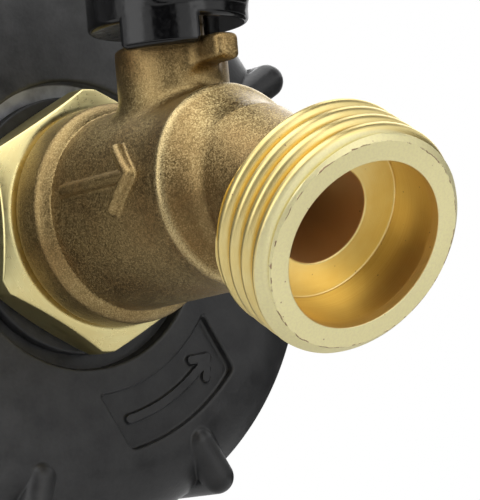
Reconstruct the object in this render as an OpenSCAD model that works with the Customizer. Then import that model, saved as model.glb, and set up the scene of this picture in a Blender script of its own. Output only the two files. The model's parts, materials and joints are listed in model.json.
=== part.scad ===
// Quarter-turn brass hose tap on a screw-on tank cap, in millimetres with +Z up the stem.
// The origin is the centre of the cap's open mouth. +Y runs into the tank, and water leaves along -Y.
// Screw threads are plain cylinders and bores at their major radius.

/* [Tank cap] */
// Depth of the cap from its front face to its mouth
cap_depth = 27.8; // [26:0.1:36]
// Outside radius of the side wall
cap_r = 36.6; // [34:0.1:44]
// Radius of the flat front face, where the rounded shoulder starts
cap_face_r = 29.3; // [28:0.1:30]
// Thickness of the front wall
front_wall = 5.8; // [5:0.1:7]
// Radius of the tank thread
tank_thread_r = 30; // [24:0.1:31]
// Length of the tank thread from the mouth
tank_thread_len = 13; // [10:0.1:15]
// Step from the tank thread in to the gasket pocket
gasket_step = 0.4; // [0.2:0.1:1]
// Depth of the round recess that takes the tailpiece washer
recess_depth = 2; // [1.5:0.1:4]
// Gap between the washer and the wall of the recess
recess_gap = 1.8; // [0.5:0.1:2.5]
// Wall of the threaded boss behind the recess
boss_wall = 5.2; // [3:0.1:5.5]

/* [Cap details] */
// Number of grip lugs
lug_count = 8; // [4:1:12]
// Angle of the first grip lug, from +X toward +Z
lug_angle = 30; // [0:1:90]
// Radius of a grip lug's round section
lug_r = 1.9; // [1.2:0.1:2.6]
// Height of the lugs over the side wall
lug_height = 1.3; // [0.5:0.1:1.8]
// Height of the lugs over the front face
lug_rise = 0.5; // [0.1:0.1:1]
// Distance from the edge of the flat face to the inner ends of the lugs
lug_inset = -0.5; // [-1:0.1:2]
// Distance from the recess to the label window
window_gap = 3.2; // [2:0.1:4]
// Radial height of the label window
window_h = 7.2; // [4:0.1:7.4]
// Width of the label window
window_w = 18.4; // [10:0.1:24]
// Angle of the label window, from +X toward +Z
window_angle = -60; // [-180:1:180]
// Depth of the label window
window_depth = 0.7; // [0.3:0.1:1]

/* [Gasket and washer] */
// Thickness of the tank gasket
gasket_t = 3.5; // [2:0.1:4]
// Outside radius of the tailpiece washer
washer_r = 15.4; // [14.5:0.1:15.8]
// Thickness of the tailpiece washer
washer_t = 1.8; // [1.5:0.1:4]

/* [Tailpiece] */
// Width of the hex across its flats
hex_af = 28; // [27:0.1:29]
// Length of the hex
hex_len = 5.9; // [4:0.1:9]
// Radius of the chamfer circle on the faces of the hex
hex_face_r = 14.4; // [13.5:0.1:14.5]
// Slope of the hex chamfer
hex_chamfer_angle = 30; // [15:1:45]
// Depth turned off the hex's corners
hex_tip_cut = 0.5; // [0.1:0.1:1.2]
// Radius of the tailpiece's outer thread
tail_thread_r = 13.22; // [12:0.01:14]
// Radius of the tailpiece's bore
tail_bore_r = 6.5; // [5.7:0.1:7]
// Length of the inner thread that screws into the valve body
spigot_len = 7.1; // [6:0.1:10]

/* [Ball and seats] */
// Radius of the ball
ball_r = 9; // [8.5:0.1:11]
// Radius of the waterway through the ball and the body
port_r = 5.63; // [4.5:0.01:6]
// Gap between the ball and the chamber round it
chamber_gap = 0.4; // [0.3:0.1:1]
// Length of a seat ring
seat_len = 3.8; // [3:0.1:4.2]
// Distance that the back of a seat stays short of the ball's pole
seat_set = 0.2; // [0:0.1:0.5]
// Gap between the ball and the seats
ball_gap = 0.1; // [0.05:0.01:0.2]

/* [Valve body] */
// Wall of the barrel round the chamber
body_wall = 2.2; // [1.8:0.1:4]
// Height of the tailpiece's inner thread over the chamber
spigot_step = 0.8; // [0.5:0.1:1.5]
// Wall of the bead round the inner thread
bead_wall = 2.76; // [2:0.01:4]
// Length of the bead
bead_len = 4.4; // [2:0.1:8]
// Length of the curve from the bead down to the barrel
bead_blend = 1.6; // [1.5:0.1:6]
// Radius of the bead's outer edge
bead_round = 1.2; // [0.5:0.1:2]
// Distance from the ball to the bend of the waterway
elbow_offset = 16.34; // [15:0.01:20]
// Distance from the bend back to the middle of the elbow's ridge
ridge_back = 4.84; // [3:0.01:5]
// Height of the ridge over the barrel
ridge_rise = 0.1; // [0:0.01:0.5]
// Distance that the middle of the ridge lies over the axis of the barrel
ridge_lift = 0.3; // [0:0.1:0.6]
// Angle that the top of the ridge leans back
ridge_tilt = 11; // [0:1:16]
// Radius of the ridge's edge
ridge_round = 0.8; // [0.3:0.1:1.5]
// Slope of the cone between the ridge and the outlet's neck
elbow_slope = 47; // [35:1:50]
// Angle that the outlet turns down
bend = 31.1; // [0:0.1:45]

/* [Outlet] */
// Distance from the bend to the outlet's rim
outlet_len = 18.26; // [17:0.01:24]
// Radius of the hose thread
hose_thread_r = 13.3; // [12.5:0.01:16]
// Length of the threaded end with its chamfers
hose_thread_len = 9.8; // [8.5:0.01:11]
// Depth of the hose thread, which sets the chamfer at the rim
hose_thread_depth = 1.3; // [0.8:0.01:1.5]
// Chamfer at the back of the hose thread
hose_back_chamfer = 0.4; // [0.2:0.1:1]
// Radius of the outlet's neck at the bend
outlet_neck_r = 7.8; // [7.4:0.1:9]
// Radius of the outlet's neck behind the thread
outlet_flare_r = 10.6; // [10.3:0.1:12]
// Radius of the bore inside the rim
outlet_bore_r = 9.7; // [7:0.1:10]
// Depth of the bore inside the rim
outlet_bore_depth = 8; // [5:0.1:8.4]

/* [Stem and gland] */
// Radius of the stem
stem_r = 4; // [3.5:0.1:5]
// Width of the packing round the stem
packing_w = 1.2; // [0.8:0.1:2]
// Wall of the neck round the packing
neck_wall = 1.23; // [1:0.01:3]
// Gap between the ball and the stem's collar
collar_lift = 0.5; // [0.3:0.1:1]
// Thickness of the stem's collar
collar_t = 1; // [0.8:0.1:2]
// Thickness of the thrust washer
thrust_t = 0.8; // [0.5:0.1:1.5]
// Length of the guide bore between the thrust washer and the packing
guide_len = 2.3; // [2.2:0.1:4]
// Length of the packing
packing_len = 1.8; // [1:0.1:4]
// Length of the gland screw
gland_len = 2.1; // [1.5:0.1:4]
// Thickness of the stem's tang
tang_t = 3; // [2:0.1:4]
// Width of the stem's tang
tang_w = 9; // [6:0.1:9.4]
// Web between the waterway and the ball's slot
slot_web = 0.77; // [0.5:0.01:1.2]

/* [Lever] */
// Gap between the neck and the lever's hub
hub_lift = 2.2; // [1.5:0.1:4]
// Radius of the hub
hub_r = 9.25; // [9:0.05:12]
// Height of the hub
hub_h = 4.6; // [3.5:0.1:6]
// Radius of the hub's edges
hub_round = 0.7; // [0.3:0.1:1]
// Depth of the stop skirts under the hub
skirt_drop = 3.2; // [2.9:0.1:3.7]
// Thickness of the stop skirts
skirt_t = 1.9; // [1:0.1:2]
// Angle where the stop skirt starts, from +X toward +Y
skirt_angle = 196; // [190:1:230]
// Distance from the stem to the tip of the arm
arm_len = 62; // [50:1:90]
// Width of the arm at its hub and its grip
arm_w = 14; // [12:0.1:18]
// Width of the arm at its waist
arm_waist = 10; // [7:0.1:11]
// Thickness of the arm
arm_t = 4.2; // [3:0.1:5]
// Height of the arm's underside over that of the hub
arm_lift = 2.4; // [1:0.1:3]
// Height that the arm climbs
arm_rise = 9; // [4:0.1:14]
// Length of the climb
arm_climb = 24; // [18:0.1:32]
// Width across the flats of the stem's drive
drive_af = 6.2; // [6:0.1:7]
// Radius of the stem's top thread
nut_thread_r = 3; // [2.5:0.1:3]
// Width of the handle nut across its flats
nut_af = 10; // [9:0.1:13]
// Height of the handle nut
nut_h = 5; // [3:0.1:6]
// Thickness of the lock washer
lock_t = 1.4; // [0.8:0.1:2]

/* [Stop lug] */
// Width of the stop lug
stop_w = 3.2; // [3:0.1:5]
// Distance from the stem to the end of the stop lug
stop_reach = 11.4; // [10:0.1:13]
// Height of the stop lug
stop_h = 3.3; // [2:0.1:4]
// Distance from the top of the neck down to the stop lug
stop_drop = 0.3; // [0.1:0.1:0.8]
// Gap between the stop lug and a skirt at the end of its travel
stop_gap = 0.25; // [0.2:0.01:0.5]

/* [Clearances] */
// Radial gap of a screwed or running fit
fit_gap = 0.05; // [0.02:0.01:0.1]
// Radial gap of a loose piece in its pocket
loose_gap = 0.2; // [0.1:0.01:0.4]

/* [Hidden] */
// Cut past a face, so that no skin is left
past = 1;
// Steps in a rounded corner
arc_steps = 8;
// Gap between the boss and the spout of the tank
boss_gap = 0.6;
// Section radius of the body's round seal
seal_ring_r = 0.62;
// Section radius of the stem's round seal
o_ring_r = 0.7;
// Height of the stem's thread over its nut
stem_proud = 0.6;
// Distance from the hub's rim in to the foot of the arm
arm_overlap = 3;
// Place of the arm's waist, as a share of its climb
waist_share = 0.75;
// Length of the ridge's lead-in and its fall over that length
ridge_lead = 2.5;
ridge_fall = 0.5;
// Width and depth of the gland screw's spanner slots
spanner_w = 1.4;
spanner_depth = 0.9;
// Angle of the split in the lock washer
washer_split = 12;

// Tank cap
cap_face_y = -cap_depth;
recess_floor_y = cap_face_y + recess_depth;
front_wall_y = cap_face_y + front_wall;
shoulder_r = cap_r - cap_face_r;
recess_r = washer_r + recess_gap;
boss_r = tail_thread_r + boss_wall;
boss_end_y = -tank_thread_len - boss_gap;
gasket_pocket_r = tank_thread_r - gasket_step;
lug_in_r = cap_face_r + lug_inset + lug_r;
lug_out_r = cap_r + lug_height - lug_r;
lug_axis_y = cap_face_y - lug_rise + lug_r;
window_in_r = recess_r + window_gap;
window_out_r = window_in_r + window_h;

// Stack from the recess to the ball
seat_back = ball_r - seat_set;
ball_to_hex = seat_back + spigot_len;
hex_back_y = recess_floor_y - washer_t;
hex_front_y = hex_back_y - hex_len;
ball_y = hex_front_y - ball_to_hex;
tail_end_y = boss_end_y + loose_gap;

// Valve body
chamber_r = ball_r + chamber_gap;
barrel_r = chamber_r + body_wall;
spigot_bore_r = chamber_r + spigot_step;
bead_r = spigot_bore_r + bead_wall;
ridge_r = barrel_r + ridge_rise;
ridge_offset = elbow_offset - ridge_back;
rim_r = hose_thread_r - hose_thread_depth;
thread_back = outlet_len - hose_thread_len;
seal_groove = 2 * seal_ring_r + loose_gap;

// Stem stack, as heights over the centre of the ball
packing_r = stem_r + packing_w;
neck_r = packing_r + neck_wall;
slot_floor = port_r + slot_web;
collar_z = ball_r + collar_lift;
thrust_z = collar_z + collar_t;
shoulder_z = thrust_z + thrust_t;
packing_z = shoulder_z + guide_len;
gland_z = packing_z + packing_len;
neck_top = gland_z + gland_len;
stop_top = neck_top - stop_drop;
hub_z = neck_top + hub_lift;
hub_top = hub_z + hub_h;
nut_z = hub_top + lock_t;
stem_top = nut_z + nut_h + stem_proud;
o_ring_z = shoulder_z + guide_len / 2;
skirt_in_r = hub_r - skirt_t;
arm_z = hub_z + arm_lift + arm_t / 2;
arm_start = hub_r - arm_overlap;

black_plastic = [0.13, 0.13, 0.14];
black_rubber = [0.07, 0.07, 0.07];
bronze = [0.55, 0.42, 0.22];
machined_brass = [0.85, 0.75, 0.45];
plated = [0.75, 0.76, 0.78];
ptfe = [0.93, 0.93, 0.9];
black_coat = [0.03, 0.03, 0.03];

// Points of an arc round c from angle a0 to angle a1
function arc(c, r, a0, a1, n = arc_steps) =
    [for (i = [0:n]) c + r * [cos(a0 + (a1 - a0) * i / n), sin(a0 + (a1 - a0) * i / n)]];

// Points of a smooth step between two levels: two equal arcs from [r0, z0] to [r1, z1], with r0 over r1
function smooth_step(r0, z0, r1, z1) =
    let (drop = r0 - r1)
    let (run = z1 - z0)
    let (r = (run * run + drop * drop) / (4 * drop))
    let (turn = asin(run / (2 * r)))
    concat(arc([r0 - r, z0], r, 0, turn), arc([r1 + r, z1], r, 180 + turn, 180));

// Points of a curve that leaves radius r0 level and flares to radius r1 over the run len
function flare(r0, r1, len) =
    [for (i = [0:arc_steps]) [r0 + (r1 - r0) * pow(i / arc_steps, 2), len * i / arc_steps]];

// Frames: the ball's centre, the flow through it, the elbow's ridge, and the outlet's axis from the bend
module at_ball() {
    translate([0, ball_y, 0]) children();
}

module downstream() {
    rotate([90, 0, 0]) children();
}

module upstream() {
    rotate([-90, 0, 0]) children();
}

module at_ridge() {
    at_ball() translate([0, -ridge_offset, ridge_lift]) rotate([90 - ridge_tilt, 0, 0]) children();
}

module at_outlet() {
    at_ball() translate([0, -elbow_offset, 0]) rotate([90 + bend, 0, 0]) children();
}

// A cylinder along +Y from y0 to y1
module rod_y(r, y0, y1) {
    translate([0, y0, 0]) upstream() cylinder(r = r, h = y1 - y0, $fn = 96);
}

// A ring along +Y from y0 to y1
module ring_y(r_out, r_in, y0, y1) {
    difference() {
        rod_y(r_out, y0, y1);
        rod_y(r_in, y0 - past, y1 + past);
    }
}

// A ring along +Z from z0 to z1
module ring_z(r_out, r_in, z0, z1) {
    difference() {
        translate([0, 0, z0]) cylinder(r = r_out, h = z1 - z0, $fn = 96);
        translate([0, 0, z0 - past]) cylinder(r = r_in, h = z1 - z0 + 2 * past, $fn = 96);
    }
}

// A round seal of the given section radius
module round_seal(centre_r, section_r) {
    rotate_extrude() translate([centre_r, 0]) circle(r = section_r, $fn = 32);
}

// One grip lug: a round bar along the front that turns back down the side wall
module grip_lug() {
    translate([lug_in_r, lug_axis_y, 0]) sphere(r = lug_r, $fn = 32);
    translate([lug_in_r, lug_axis_y, 0]) rotate([0, 90, 0])
        cylinder(r = lug_r, h = lug_out_r - lug_in_r, $fn = 32);
    translate([lug_out_r, lug_axis_y, 0]) sphere(r = lug_r, $fn = 32);
    translate([lug_out_r, 0, 0]) rod_y(lug_r, lug_axis_y, 0);
}

// The label window's outline, with its middle on +X
module window_outline() {
    intersection() {
        difference() {
            circle(r = window_out_r, $fn = 96);
            circle(r = window_in_r, $fn = 96);
        }
        translate([0, -window_w / 2]) square([window_out_r + past, window_w]);
    }
}

module cap_shell() {
    profile = concat(
        [[0, 0], [cap_face_r, 0]],
        arc([cap_face_r, shoulder_r], shoulder_r, -90, 0),
        [[cap_r, cap_depth], [0, cap_depth]]);
    translate([0, cap_face_y, 0]) upstream() rotate_extrude() polygon(profile);
}

module tank_cap() {
    color(black_plastic)
    difference() {
        union() {
            difference() {
                union() {
                    cap_shell();
                    for (i = [0:lug_count - 1])
                        rotate([0, -lug_angle - 360 * i / lug_count, 0]) grip_lug();
                }
                rod_y(tank_thread_r, -tank_thread_len, past);
                rod_y(gasket_pocket_r, front_wall_y, past - tank_thread_len);
            }
            rod_y(boss_r, front_wall_y - past, boss_end_y);
        }
        rod_y(recess_r, cap_face_y - past, recess_floor_y);
        rod_y(tail_thread_r + fit_gap, cap_face_y, past);
        translate([0, cap_face_y + window_depth, 0]) rotate([0, -window_angle, 0]) rotate([90, 0, 0])
            linear_extrude(past + window_depth) window_outline();
    }
}

module tank_gasket() {
    color(black_rubber)
    ring_y(gasket_pocket_r - loose_gap, boss_r + loose_gap, front_wall_y, front_wall_y + gasket_t);
}

module tailpiece_washer() {
    color(black_rubber)
    ring_y(washer_r, tail_thread_r + loose_gap, hex_back_y, recess_floor_y);
}

// Hex with turned-down corners, one of them up, and both faces chamfered to a circle
module chamfered_hex() {
    corner_r = hex_af / 2 / cos(30);
    tip_r = corner_r - hex_tip_cut;
    chamfer = (tip_r - hex_face_r) * tan(hex_chamfer_angle);
    profile = [[0, 0], [hex_face_r, 0], [tip_r, chamfer],
               [tip_r, hex_len - chamfer], [hex_face_r, hex_len], [0, hex_len]];
    translate([0, hex_front_y, 0]) upstream() intersection() {
        rotate([0, 0, 30]) cylinder(r = corner_r, h = hex_len, $fn = 6);
        rotate_extrude() polygon(profile);
    }
}

module tailpiece() {
    spigot_r = spigot_bore_r - fit_gap;
    spigot_y = hex_front_y - spigot_len + fit_gap;
    color(machined_brass)
    difference() {
        union() {
            chamfered_hex();
            rod_y(tail_thread_r, hex_back_y - past, tail_end_y);
            rod_y(spigot_r, spigot_y, hex_front_y + past);
        }
        rod_y(tail_bore_r, spigot_y - past, tail_end_y + past);
        ring_y(spigot_r + past, spigot_r - 2 * seal_ring_r, hex_front_y - seal_groove, hex_front_y);
    }
}

module body_o_ring() {
    color(black_rubber)
    translate([0, hex_front_y - seal_groove / 2, 0]) upstream()
        round_seal(spigot_bore_r - fit_gap / 2 - seal_ring_r, seal_ring_r - fit_gap / 2);
}

// Barrel with the bead at its inlet end, along the flow, cut off level with the ridge
module body_barrel() {
    profile = concat(
        [[0, -ball_to_hex]],
        arc([bead_r - bead_round, bead_round - ball_to_hex], bead_round, -90, 0),
        smooth_step(bead_r, bead_len - ball_to_hex, barrel_r, bead_len + bead_blend - ball_to_hex),
        [[barrel_r, elbow_offset], [0, elbow_offset]]);
    reach = ball_to_hex + elbow_offset;
    intersection() {
        at_ball() downstream() rotate_extrude() polygon(profile);
        at_ridge() translate([0, 0, -reach]) cylinder(r = 2 * bead_r, h = reach, $fn = 96);
    }
}

// Elbow: the ridge with its lead-in, the cone in front of it, and the ball that turns the bend
module body_elbow() {
    cone_r = ridge_r - ridge_round * (1 - cos(elbow_slope));
    cone_z = ridge_round * sin(elbow_slope);
    end_r = outlet_neck_r - 2 * ridge_round;
    end_z = cone_z + (cone_r - end_r) / tan(elbow_slope);
    profile = concat(
        [[0, -ridge_lead], [ridge_r - ridge_fall, -ridge_lead]],
        arc([ridge_r - ridge_round, 0], ridge_round, 0, elbow_slope),
        [[end_r, end_z], [0, end_z]]);
    at_ridge() rotate_extrude() polygon(profile);
    at_outlet() sphere(r = outlet_neck_r, $fn = 96);
}

// Outlet end: the neck that flares to the thread, then the threaded rim
module body_outlet() {
    profile = concat(
        [[0, 0]],
        flare(outlet_neck_r, outlet_flare_r, thread_back),
        [[hose_thread_r - hose_back_chamfer, thread_back], [hose_thread_r, thread_back + hose_back_chamfer],
         [hose_thread_r, outlet_len - hose_thread_depth], [rim_r, outlet_len], [0, outlet_len]]);
    at_outlet() rotate_extrude() polygon(profile);
}

// Lug on the neck that ends the lever's travel
module stop_lug() {
    at_ball() translate([0, 0, stop_top - stop_h]) linear_extrude(stop_h) {
        translate([0, stop_w / 2 - stop_reach]) circle(d = stop_w, $fn = 48);
        translate([-stop_w / 2, stop_w / 2 - stop_reach]) square([stop_w, stop_reach - packing_r]);
    }
}

module body_waterway() {
    at_ball() downstream() {
        translate([0, 0, -ball_to_hex - past])
            cylinder(r = spigot_bore_r, h = spigot_len + past, $fn = 96);
        translate([0, 0, -seat_back - past]) cylinder(r = chamber_r, h = 2 * seat_back + past, $fn = 96);
        cylinder(r = port_r, h = elbow_offset, $fn = 96);
        translate([0, 0, elbow_offset]) sphere(r = port_r, $fn = 96);
    }
    at_outlet() {
        cylinder(r = port_r, h = outlet_len, $fn = 96);
        translate([0, 0, outlet_len - outlet_bore_depth])
            cylinder(r = outlet_bore_r, h = outlet_bore_depth + past, $fn = 96);
    }
}

module body_neck_bores() {
    at_ball() {
        cylinder(r = packing_r, h = shoulder_z, $fn = 96);
        cylinder(r = stem_r + fit_gap, h = neck_top, $fn = 96);
        translate([0, 0, packing_z]) cylinder(r = packing_r, h = neck_top, $fn = 96);
    }
}

module valve_body() {
    color(bronze)
    difference() {
        union() {
            body_barrel();
            body_elbow();
            body_outlet();
            at_ball() cylinder(r = neck_r, h = neck_top, $fn = 96);
            stop_lug();
        }
        body_waterway();
        body_neck_bores();
    }
}

// Seat ring upstream of the ball, hollowed to the ball's curve
module seat() {
    at_ball() difference() {
        ring_y(chamber_r - loose_gap / 2, port_r + loose_gap, seat_back - seat_len, seat_back);
        sphere(r = ball_r + ball_gap, $fn = 96);
    }
}

module inlet_seat() {
    color(ptfe) seat();
}

module outlet_seat() {
    color(ptfe) translate([0, 2 * ball_y, 0]) mirror([0, 1, 0]) seat();
}

module ball() {
    color(plated)
    at_ball() difference() {
        sphere(r = ball_r, $fn = 96);
        rod_y(port_r, -ball_r - past, ball_r + past);
        translate([-ball_r - past, -tang_t / 2 - loose_gap / 2, slot_floor])
            cube([2 * ball_r + 2 * past, tang_t + loose_gap, ball_r]);
    }
}

// A round bar with two flats on its front and back
module drive_bar(r, af, h) {
    intersection() {
        cylinder(r = r, h = h, $fn = 96);
        translate([-r - past, -af / 2, 0]) cube([2 * r + 2 * past, af, h]);
    }
}

module stem() {
    tang_z = slot_floor + loose_gap / 2;
    color(machined_brass)
    at_ball() difference() {
        union() {
            translate([-tang_w / 2, -tang_t / 2, tang_z]) cube([tang_w, tang_t, thrust_z - fit_gap - tang_z]);
            translate([0, 0, collar_z]) cylinder(r = packing_r - loose_gap, h = collar_t - fit_gap, $fn = 96);
            translate([0, 0, collar_z]) cylinder(r = stem_r, h = hub_z - collar_z, $fn = 96);
            translate([0, 0, hub_z - past]) drive_bar(stem_r, drive_af, hub_h + past - loose_gap);
            translate([0, 0, hub_z]) cylinder(r = nut_thread_r, h = stem_top - hub_z, $fn = 64);
        }
        ring_z(stem_r + past, stem_r - 2 * o_ring_r, o_ring_z - o_ring_r - loose_gap / 2,
               o_ring_z + o_ring_r + loose_gap / 2);
    }
}

module stem_o_ring() {
    color(black_rubber)
    at_ball() translate([0, 0, o_ring_z])
        round_seal(stem_r + fit_gap / 2 - o_ring_r, o_ring_r - fit_gap / 2);
}

module thrust_washer() {
    color(ptfe)
    at_ball() ring_z(packing_r - loose_gap, stem_r + fit_gap, thrust_z, shoulder_z);
}

module gland_packing() {
    color(ptfe)
    at_ball() ring_z(packing_r - fit_gap, stem_r + fit_gap, packing_z, gland_z);
}

// Threaded ring with two spanner slots across its top
module gland_screw() {
    color(machined_brass)
    at_ball() difference() {
        ring_z(packing_r - fit_gap, stem_r + 2 * fit_gap, gland_z, neck_top);
        translate([-packing_r - past, -spanner_w / 2, neck_top - spanner_depth])
            cube([2 * packing_r + 2 * past, spanner_w, spanner_depth + past]);
    }
}

// Hub of the lever with rounded edges
module lever_hub() {
    profile = concat(
        [[0, 0]],
        arc([hub_r - hub_round, hub_round], hub_round, -90, 0),
        arc([hub_r - hub_round, hub_h - hub_round], hub_round, 0, 90),
        [[0, hub_h]]);
    translate([0, 0, hub_z]) rotate_extrude() polygon(profile);
}

// Curved skirt that hangs from the hub and ends at the stop lug's -X side
module stop_skirt() {
    stop_x = stop_w / 2 + stop_gap;
    difference() {
        rotate([0, 0, skirt_angle]) rotate_extrude(angle = 270 - skirt_angle)
            translate([skirt_in_r, hub_z - skirt_drop]) square([skirt_t, skirt_drop + hub_h / 2]);
        translate([-stop_x, -hub_r - past, 0]) cube([stop_x + past, hub_r + past, hub_top]);
    }
}

// Arm seen from the side: it climbs from the hub in two arcs, then runs level to its tip
module arm_side() {
    r = (arm_climb * arm_climb + arm_rise * arm_rise) / (4 * arm_rise);
    turn = asin(arm_climb / (2 * r));
    half = arm_t / 2;
    foot = [arm_start, arm_z + r];
    head = [arm_start + arm_climb, arm_z + arm_rise - r];
    polygon(concat(
        [[0, arm_z - half]],
        arc(foot, r + half, -90, turn - 90),
        arc(head, r - half, 90 + turn, 90),
        [[arm_len, head[1] + r - half], [arm_len, head[1] + r + half]],
        arc(head, r + half, 90, 90 + turn),
        arc(foot, r - half, turn - 90, -90),
        [[0, arm_z + half]]));
}

// Arm seen from above: a bar with a round tip and a drawn-in waist
module arm_plan() {
    waist_run = arm_climb * waist_share;
    waist_in = (arm_w - arm_waist) / 2;
    waist_r = (waist_run * waist_run + waist_in * waist_in) / (2 * waist_in);
    difference() {
        union() {
            translate([0, -arm_w / 2]) square([arm_len - arm_w / 2, arm_w]);
            translate([arm_len - arm_w / 2, 0]) circle(d = arm_w, $fn = 96);
        }
        for (side = [-1, 1])
            translate([arm_start + waist_run, side * (arm_waist / 2 + waist_r)]) circle(r = waist_r, $fn = 192);
    }
}

module lever_arm() {
    rotate([0, 0, -90]) intersection() {
        translate([0, arm_w, 0]) rotate([90, 0, 0]) linear_extrude(2 * arm_w) arm_side();
        linear_extrude(hub_top + arm_rise + arm_t) arm_plan();
    }
}

module lever_handle() {
    color(black_coat)
    at_ball() difference() {
        union() {
            lever_hub();
            lever_arm();
            stop_skirt();
            rotate([0, 0, 90]) mirror([1, 0, 0]) stop_skirt();
        }
        translate([0, 0, hub_z - past]) drive_bar(stem_r + fit_gap, drive_af + 2 * fit_gap, hub_h + past);
        translate([0, 0, hub_top]) cylinder(r = nut_af / 2 + past, h = arm_rise + arm_t, $fn = 64);
    }
}

// Split spring washer under the handle nut
module lock_washer() {
    color(plated)
    at_ball() translate([0, 0, hub_top]) rotate([0, 0, washer_split / 2])
        rotate_extrude(angle = 360 - washer_split)
        translate([nut_thread_r + fit_gap, 0]) square([nut_af / 2 - nut_thread_r - fit_gap, lock_t]);
}

module handle_nut() {
    corner_r = nut_af / 2 / cos(30);
    chamfer = (corner_r - nut_af / 2) * tan(hex_chamfer_angle);
    profile = [[0, 0], [nut_af / 2, 0], [corner_r, chamfer], [corner_r, nut_h - chamfer],
               [nut_af / 2, nut_h], [0, nut_h]];
    color(plated)
    at_ball() translate([0, 0, nut_z]) difference() {
        intersection() {
            cylinder(r = corner_r, h = nut_h, $fn = 6);
            rotate_extrude() polygon(profile);
        }
        translate([0, 0, -past]) cylinder(r = nut_thread_r + fit_gap, h = nut_h + 2 * past, $fn = 64);
    }
}

tank_cap();
tank_gasket();
tailpiece();
tailpiece_washer();
body_o_ring();
valve_body();
inlet_seat();
outlet_seat();
ball();
stem();
thrust_washer();
stem_o_ring();
gland_packing();
gland_screw();
lever_handle();
lock_washer();
handle_nut();
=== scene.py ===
"""Quarter-turn brass hose tap on a moulded tank cap: its pieces, finishes, studio and camera."""

import json
import logging
import math
from dataclasses import dataclass
from enum import Enum
from typing import Callable, Sequence

import bmesh
import bpy
import numpy as np
from mathutils import Matrix, Vector


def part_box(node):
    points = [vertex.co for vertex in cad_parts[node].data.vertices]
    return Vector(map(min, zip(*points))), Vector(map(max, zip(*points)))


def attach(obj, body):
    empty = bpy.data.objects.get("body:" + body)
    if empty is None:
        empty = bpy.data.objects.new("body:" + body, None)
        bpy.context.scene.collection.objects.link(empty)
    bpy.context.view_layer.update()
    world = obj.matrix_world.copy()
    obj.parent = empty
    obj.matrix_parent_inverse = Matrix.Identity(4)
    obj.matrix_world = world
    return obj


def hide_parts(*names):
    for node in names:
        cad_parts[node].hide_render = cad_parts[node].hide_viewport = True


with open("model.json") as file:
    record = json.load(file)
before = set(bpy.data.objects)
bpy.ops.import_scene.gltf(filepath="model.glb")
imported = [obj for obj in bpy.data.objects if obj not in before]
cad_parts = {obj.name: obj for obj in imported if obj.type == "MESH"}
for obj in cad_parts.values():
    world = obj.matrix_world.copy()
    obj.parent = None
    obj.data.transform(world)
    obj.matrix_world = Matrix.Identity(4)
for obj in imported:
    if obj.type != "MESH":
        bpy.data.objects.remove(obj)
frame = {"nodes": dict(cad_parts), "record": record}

LOG = logging.getLogger("hose_tap")
MM = 0.001
TINY = 1e-9
IMAGE_HEIGHT = 500.0
FULL_TURN = 2.0 * math.pi
HEX_SIDES = 6
ROUND_STEPS = 4
QUAD = 4

Array = np.ndarray
Pair = tuple[float, float]
Triple = tuple[float, float, float]
Span = tuple[Pair, Pair]
Colour = Triple
Corners = Sequence[Triple]
Distance = Callable[[Array], Array]
Material = bpy.types.Material
Socket = bpy.types.NodeSocket


class Body(Enum):
    """The two bodies that pieces ride on."""

    TAP = "tap"
    LEVER = "lever"


class Slot(Enum):
    """The record's material slots that pieces stand for."""

    PLASTIC = "black_plastic"
    RUBBER = "black_rubber"
    MACHINED = "machined_brass"
    BLASTED = "blasted_brass"
    COAT = "black_coat"
    ZINC = "zinc_plate"


# Meshes


@dataclass
class Shape:
    """Points in millimetres, the faces that join them, and normals where they are known."""

    points: Array
    faces: Array
    normals: Array | None = None


@dataclass(frozen=True)
class Axis:
    """A line that turned shapes run along."""

    start: Triple
    direction: Triple

    def split(self, points: Array) -> tuple[Array, Array]:
        """Measures points against the axis.

        Args:
            points: Places in millimetres, three to a row.

        Returns:
            The distance from the axis and the run along it.
        """
        line = np.array(self.direction)
        rel = points - np.array(self.start)
        run = rel @ line
        ring = np.linalg.norm(rel - run[..., None] * line, axis=-1)
        return ring, run

    def place(self) -> Matrix:
        """Returns the matrix that stands a piece turned about its own +Z on this axis."""
        turn = Vector(self.direction).to_track_quat("Z", "X").to_matrix().to_4x4()
        return Matrix.Translation(Vector(self.start) * MM) @ turn


UPRIGHT = Axis((0.0, 0.0, 0.0), (0.0, 0.0, 1.0))
OUTWARD = Axis((0.0, 0.0, 0.0), (0.0, -1.0, 0.0))


def fillet_union(a: Array, b: Array, reach: float) -> Array:
    """Joins two distance fields with a round fillet.

    Args:
        a: The first distances.
        b: The second distances.
        reach: How far the fillet reaches, in millimetres.

    Returns:
        The joined distances.
    """
    share = np.maximum(reach - np.abs(a - b), 0.0) / reach
    return np.minimum(a, b) - share * share * reach / 4.0


def rounded_cut(a: Array, b: Array, reach: float) -> Array:
    """Returns what lies in both distance fields, with a round edge of the given reach."""
    return -fillet_union(-a, -b, reach)


def turned_bar(ring: Array, run: Array, runs: Array, radii: Array) -> Array:
    """Distance to a turned bar.

    Args:
        ring: Distances from its axis.
        run: Runs along its axis.
        runs: Stations along the axis, rising.
        radii: The bar's radius at each station.

    Returns:
        The distances, below zero inside the bar.
    """
    ends = np.maximum(runs[0] - run, run - runs[-1])
    return np.maximum(ring - np.interp(run, runs, radii), ends)


def stroke(across: Array, along: Array, start: Sequence[float], end: Sequence[float]) -> Array:
    """Distance in a plane to the straight line between two points.

    Args:
        across: First coordinates of the places.
        along: Second coordinates of the places.
        start: The line's first point.
        end: The line's last point.

    Returns:
        The distances.
    """
    line = np.subtract(end, start)
    rel_a = across - start[0]
    rel_b = along - start[1]
    share = np.clip((rel_a * line[0] + rel_b * line[1]) / (line @ line), 0.0, 1.0)
    return np.hypot(rel_a - share * line[0], rel_b - share * line[1])


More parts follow.
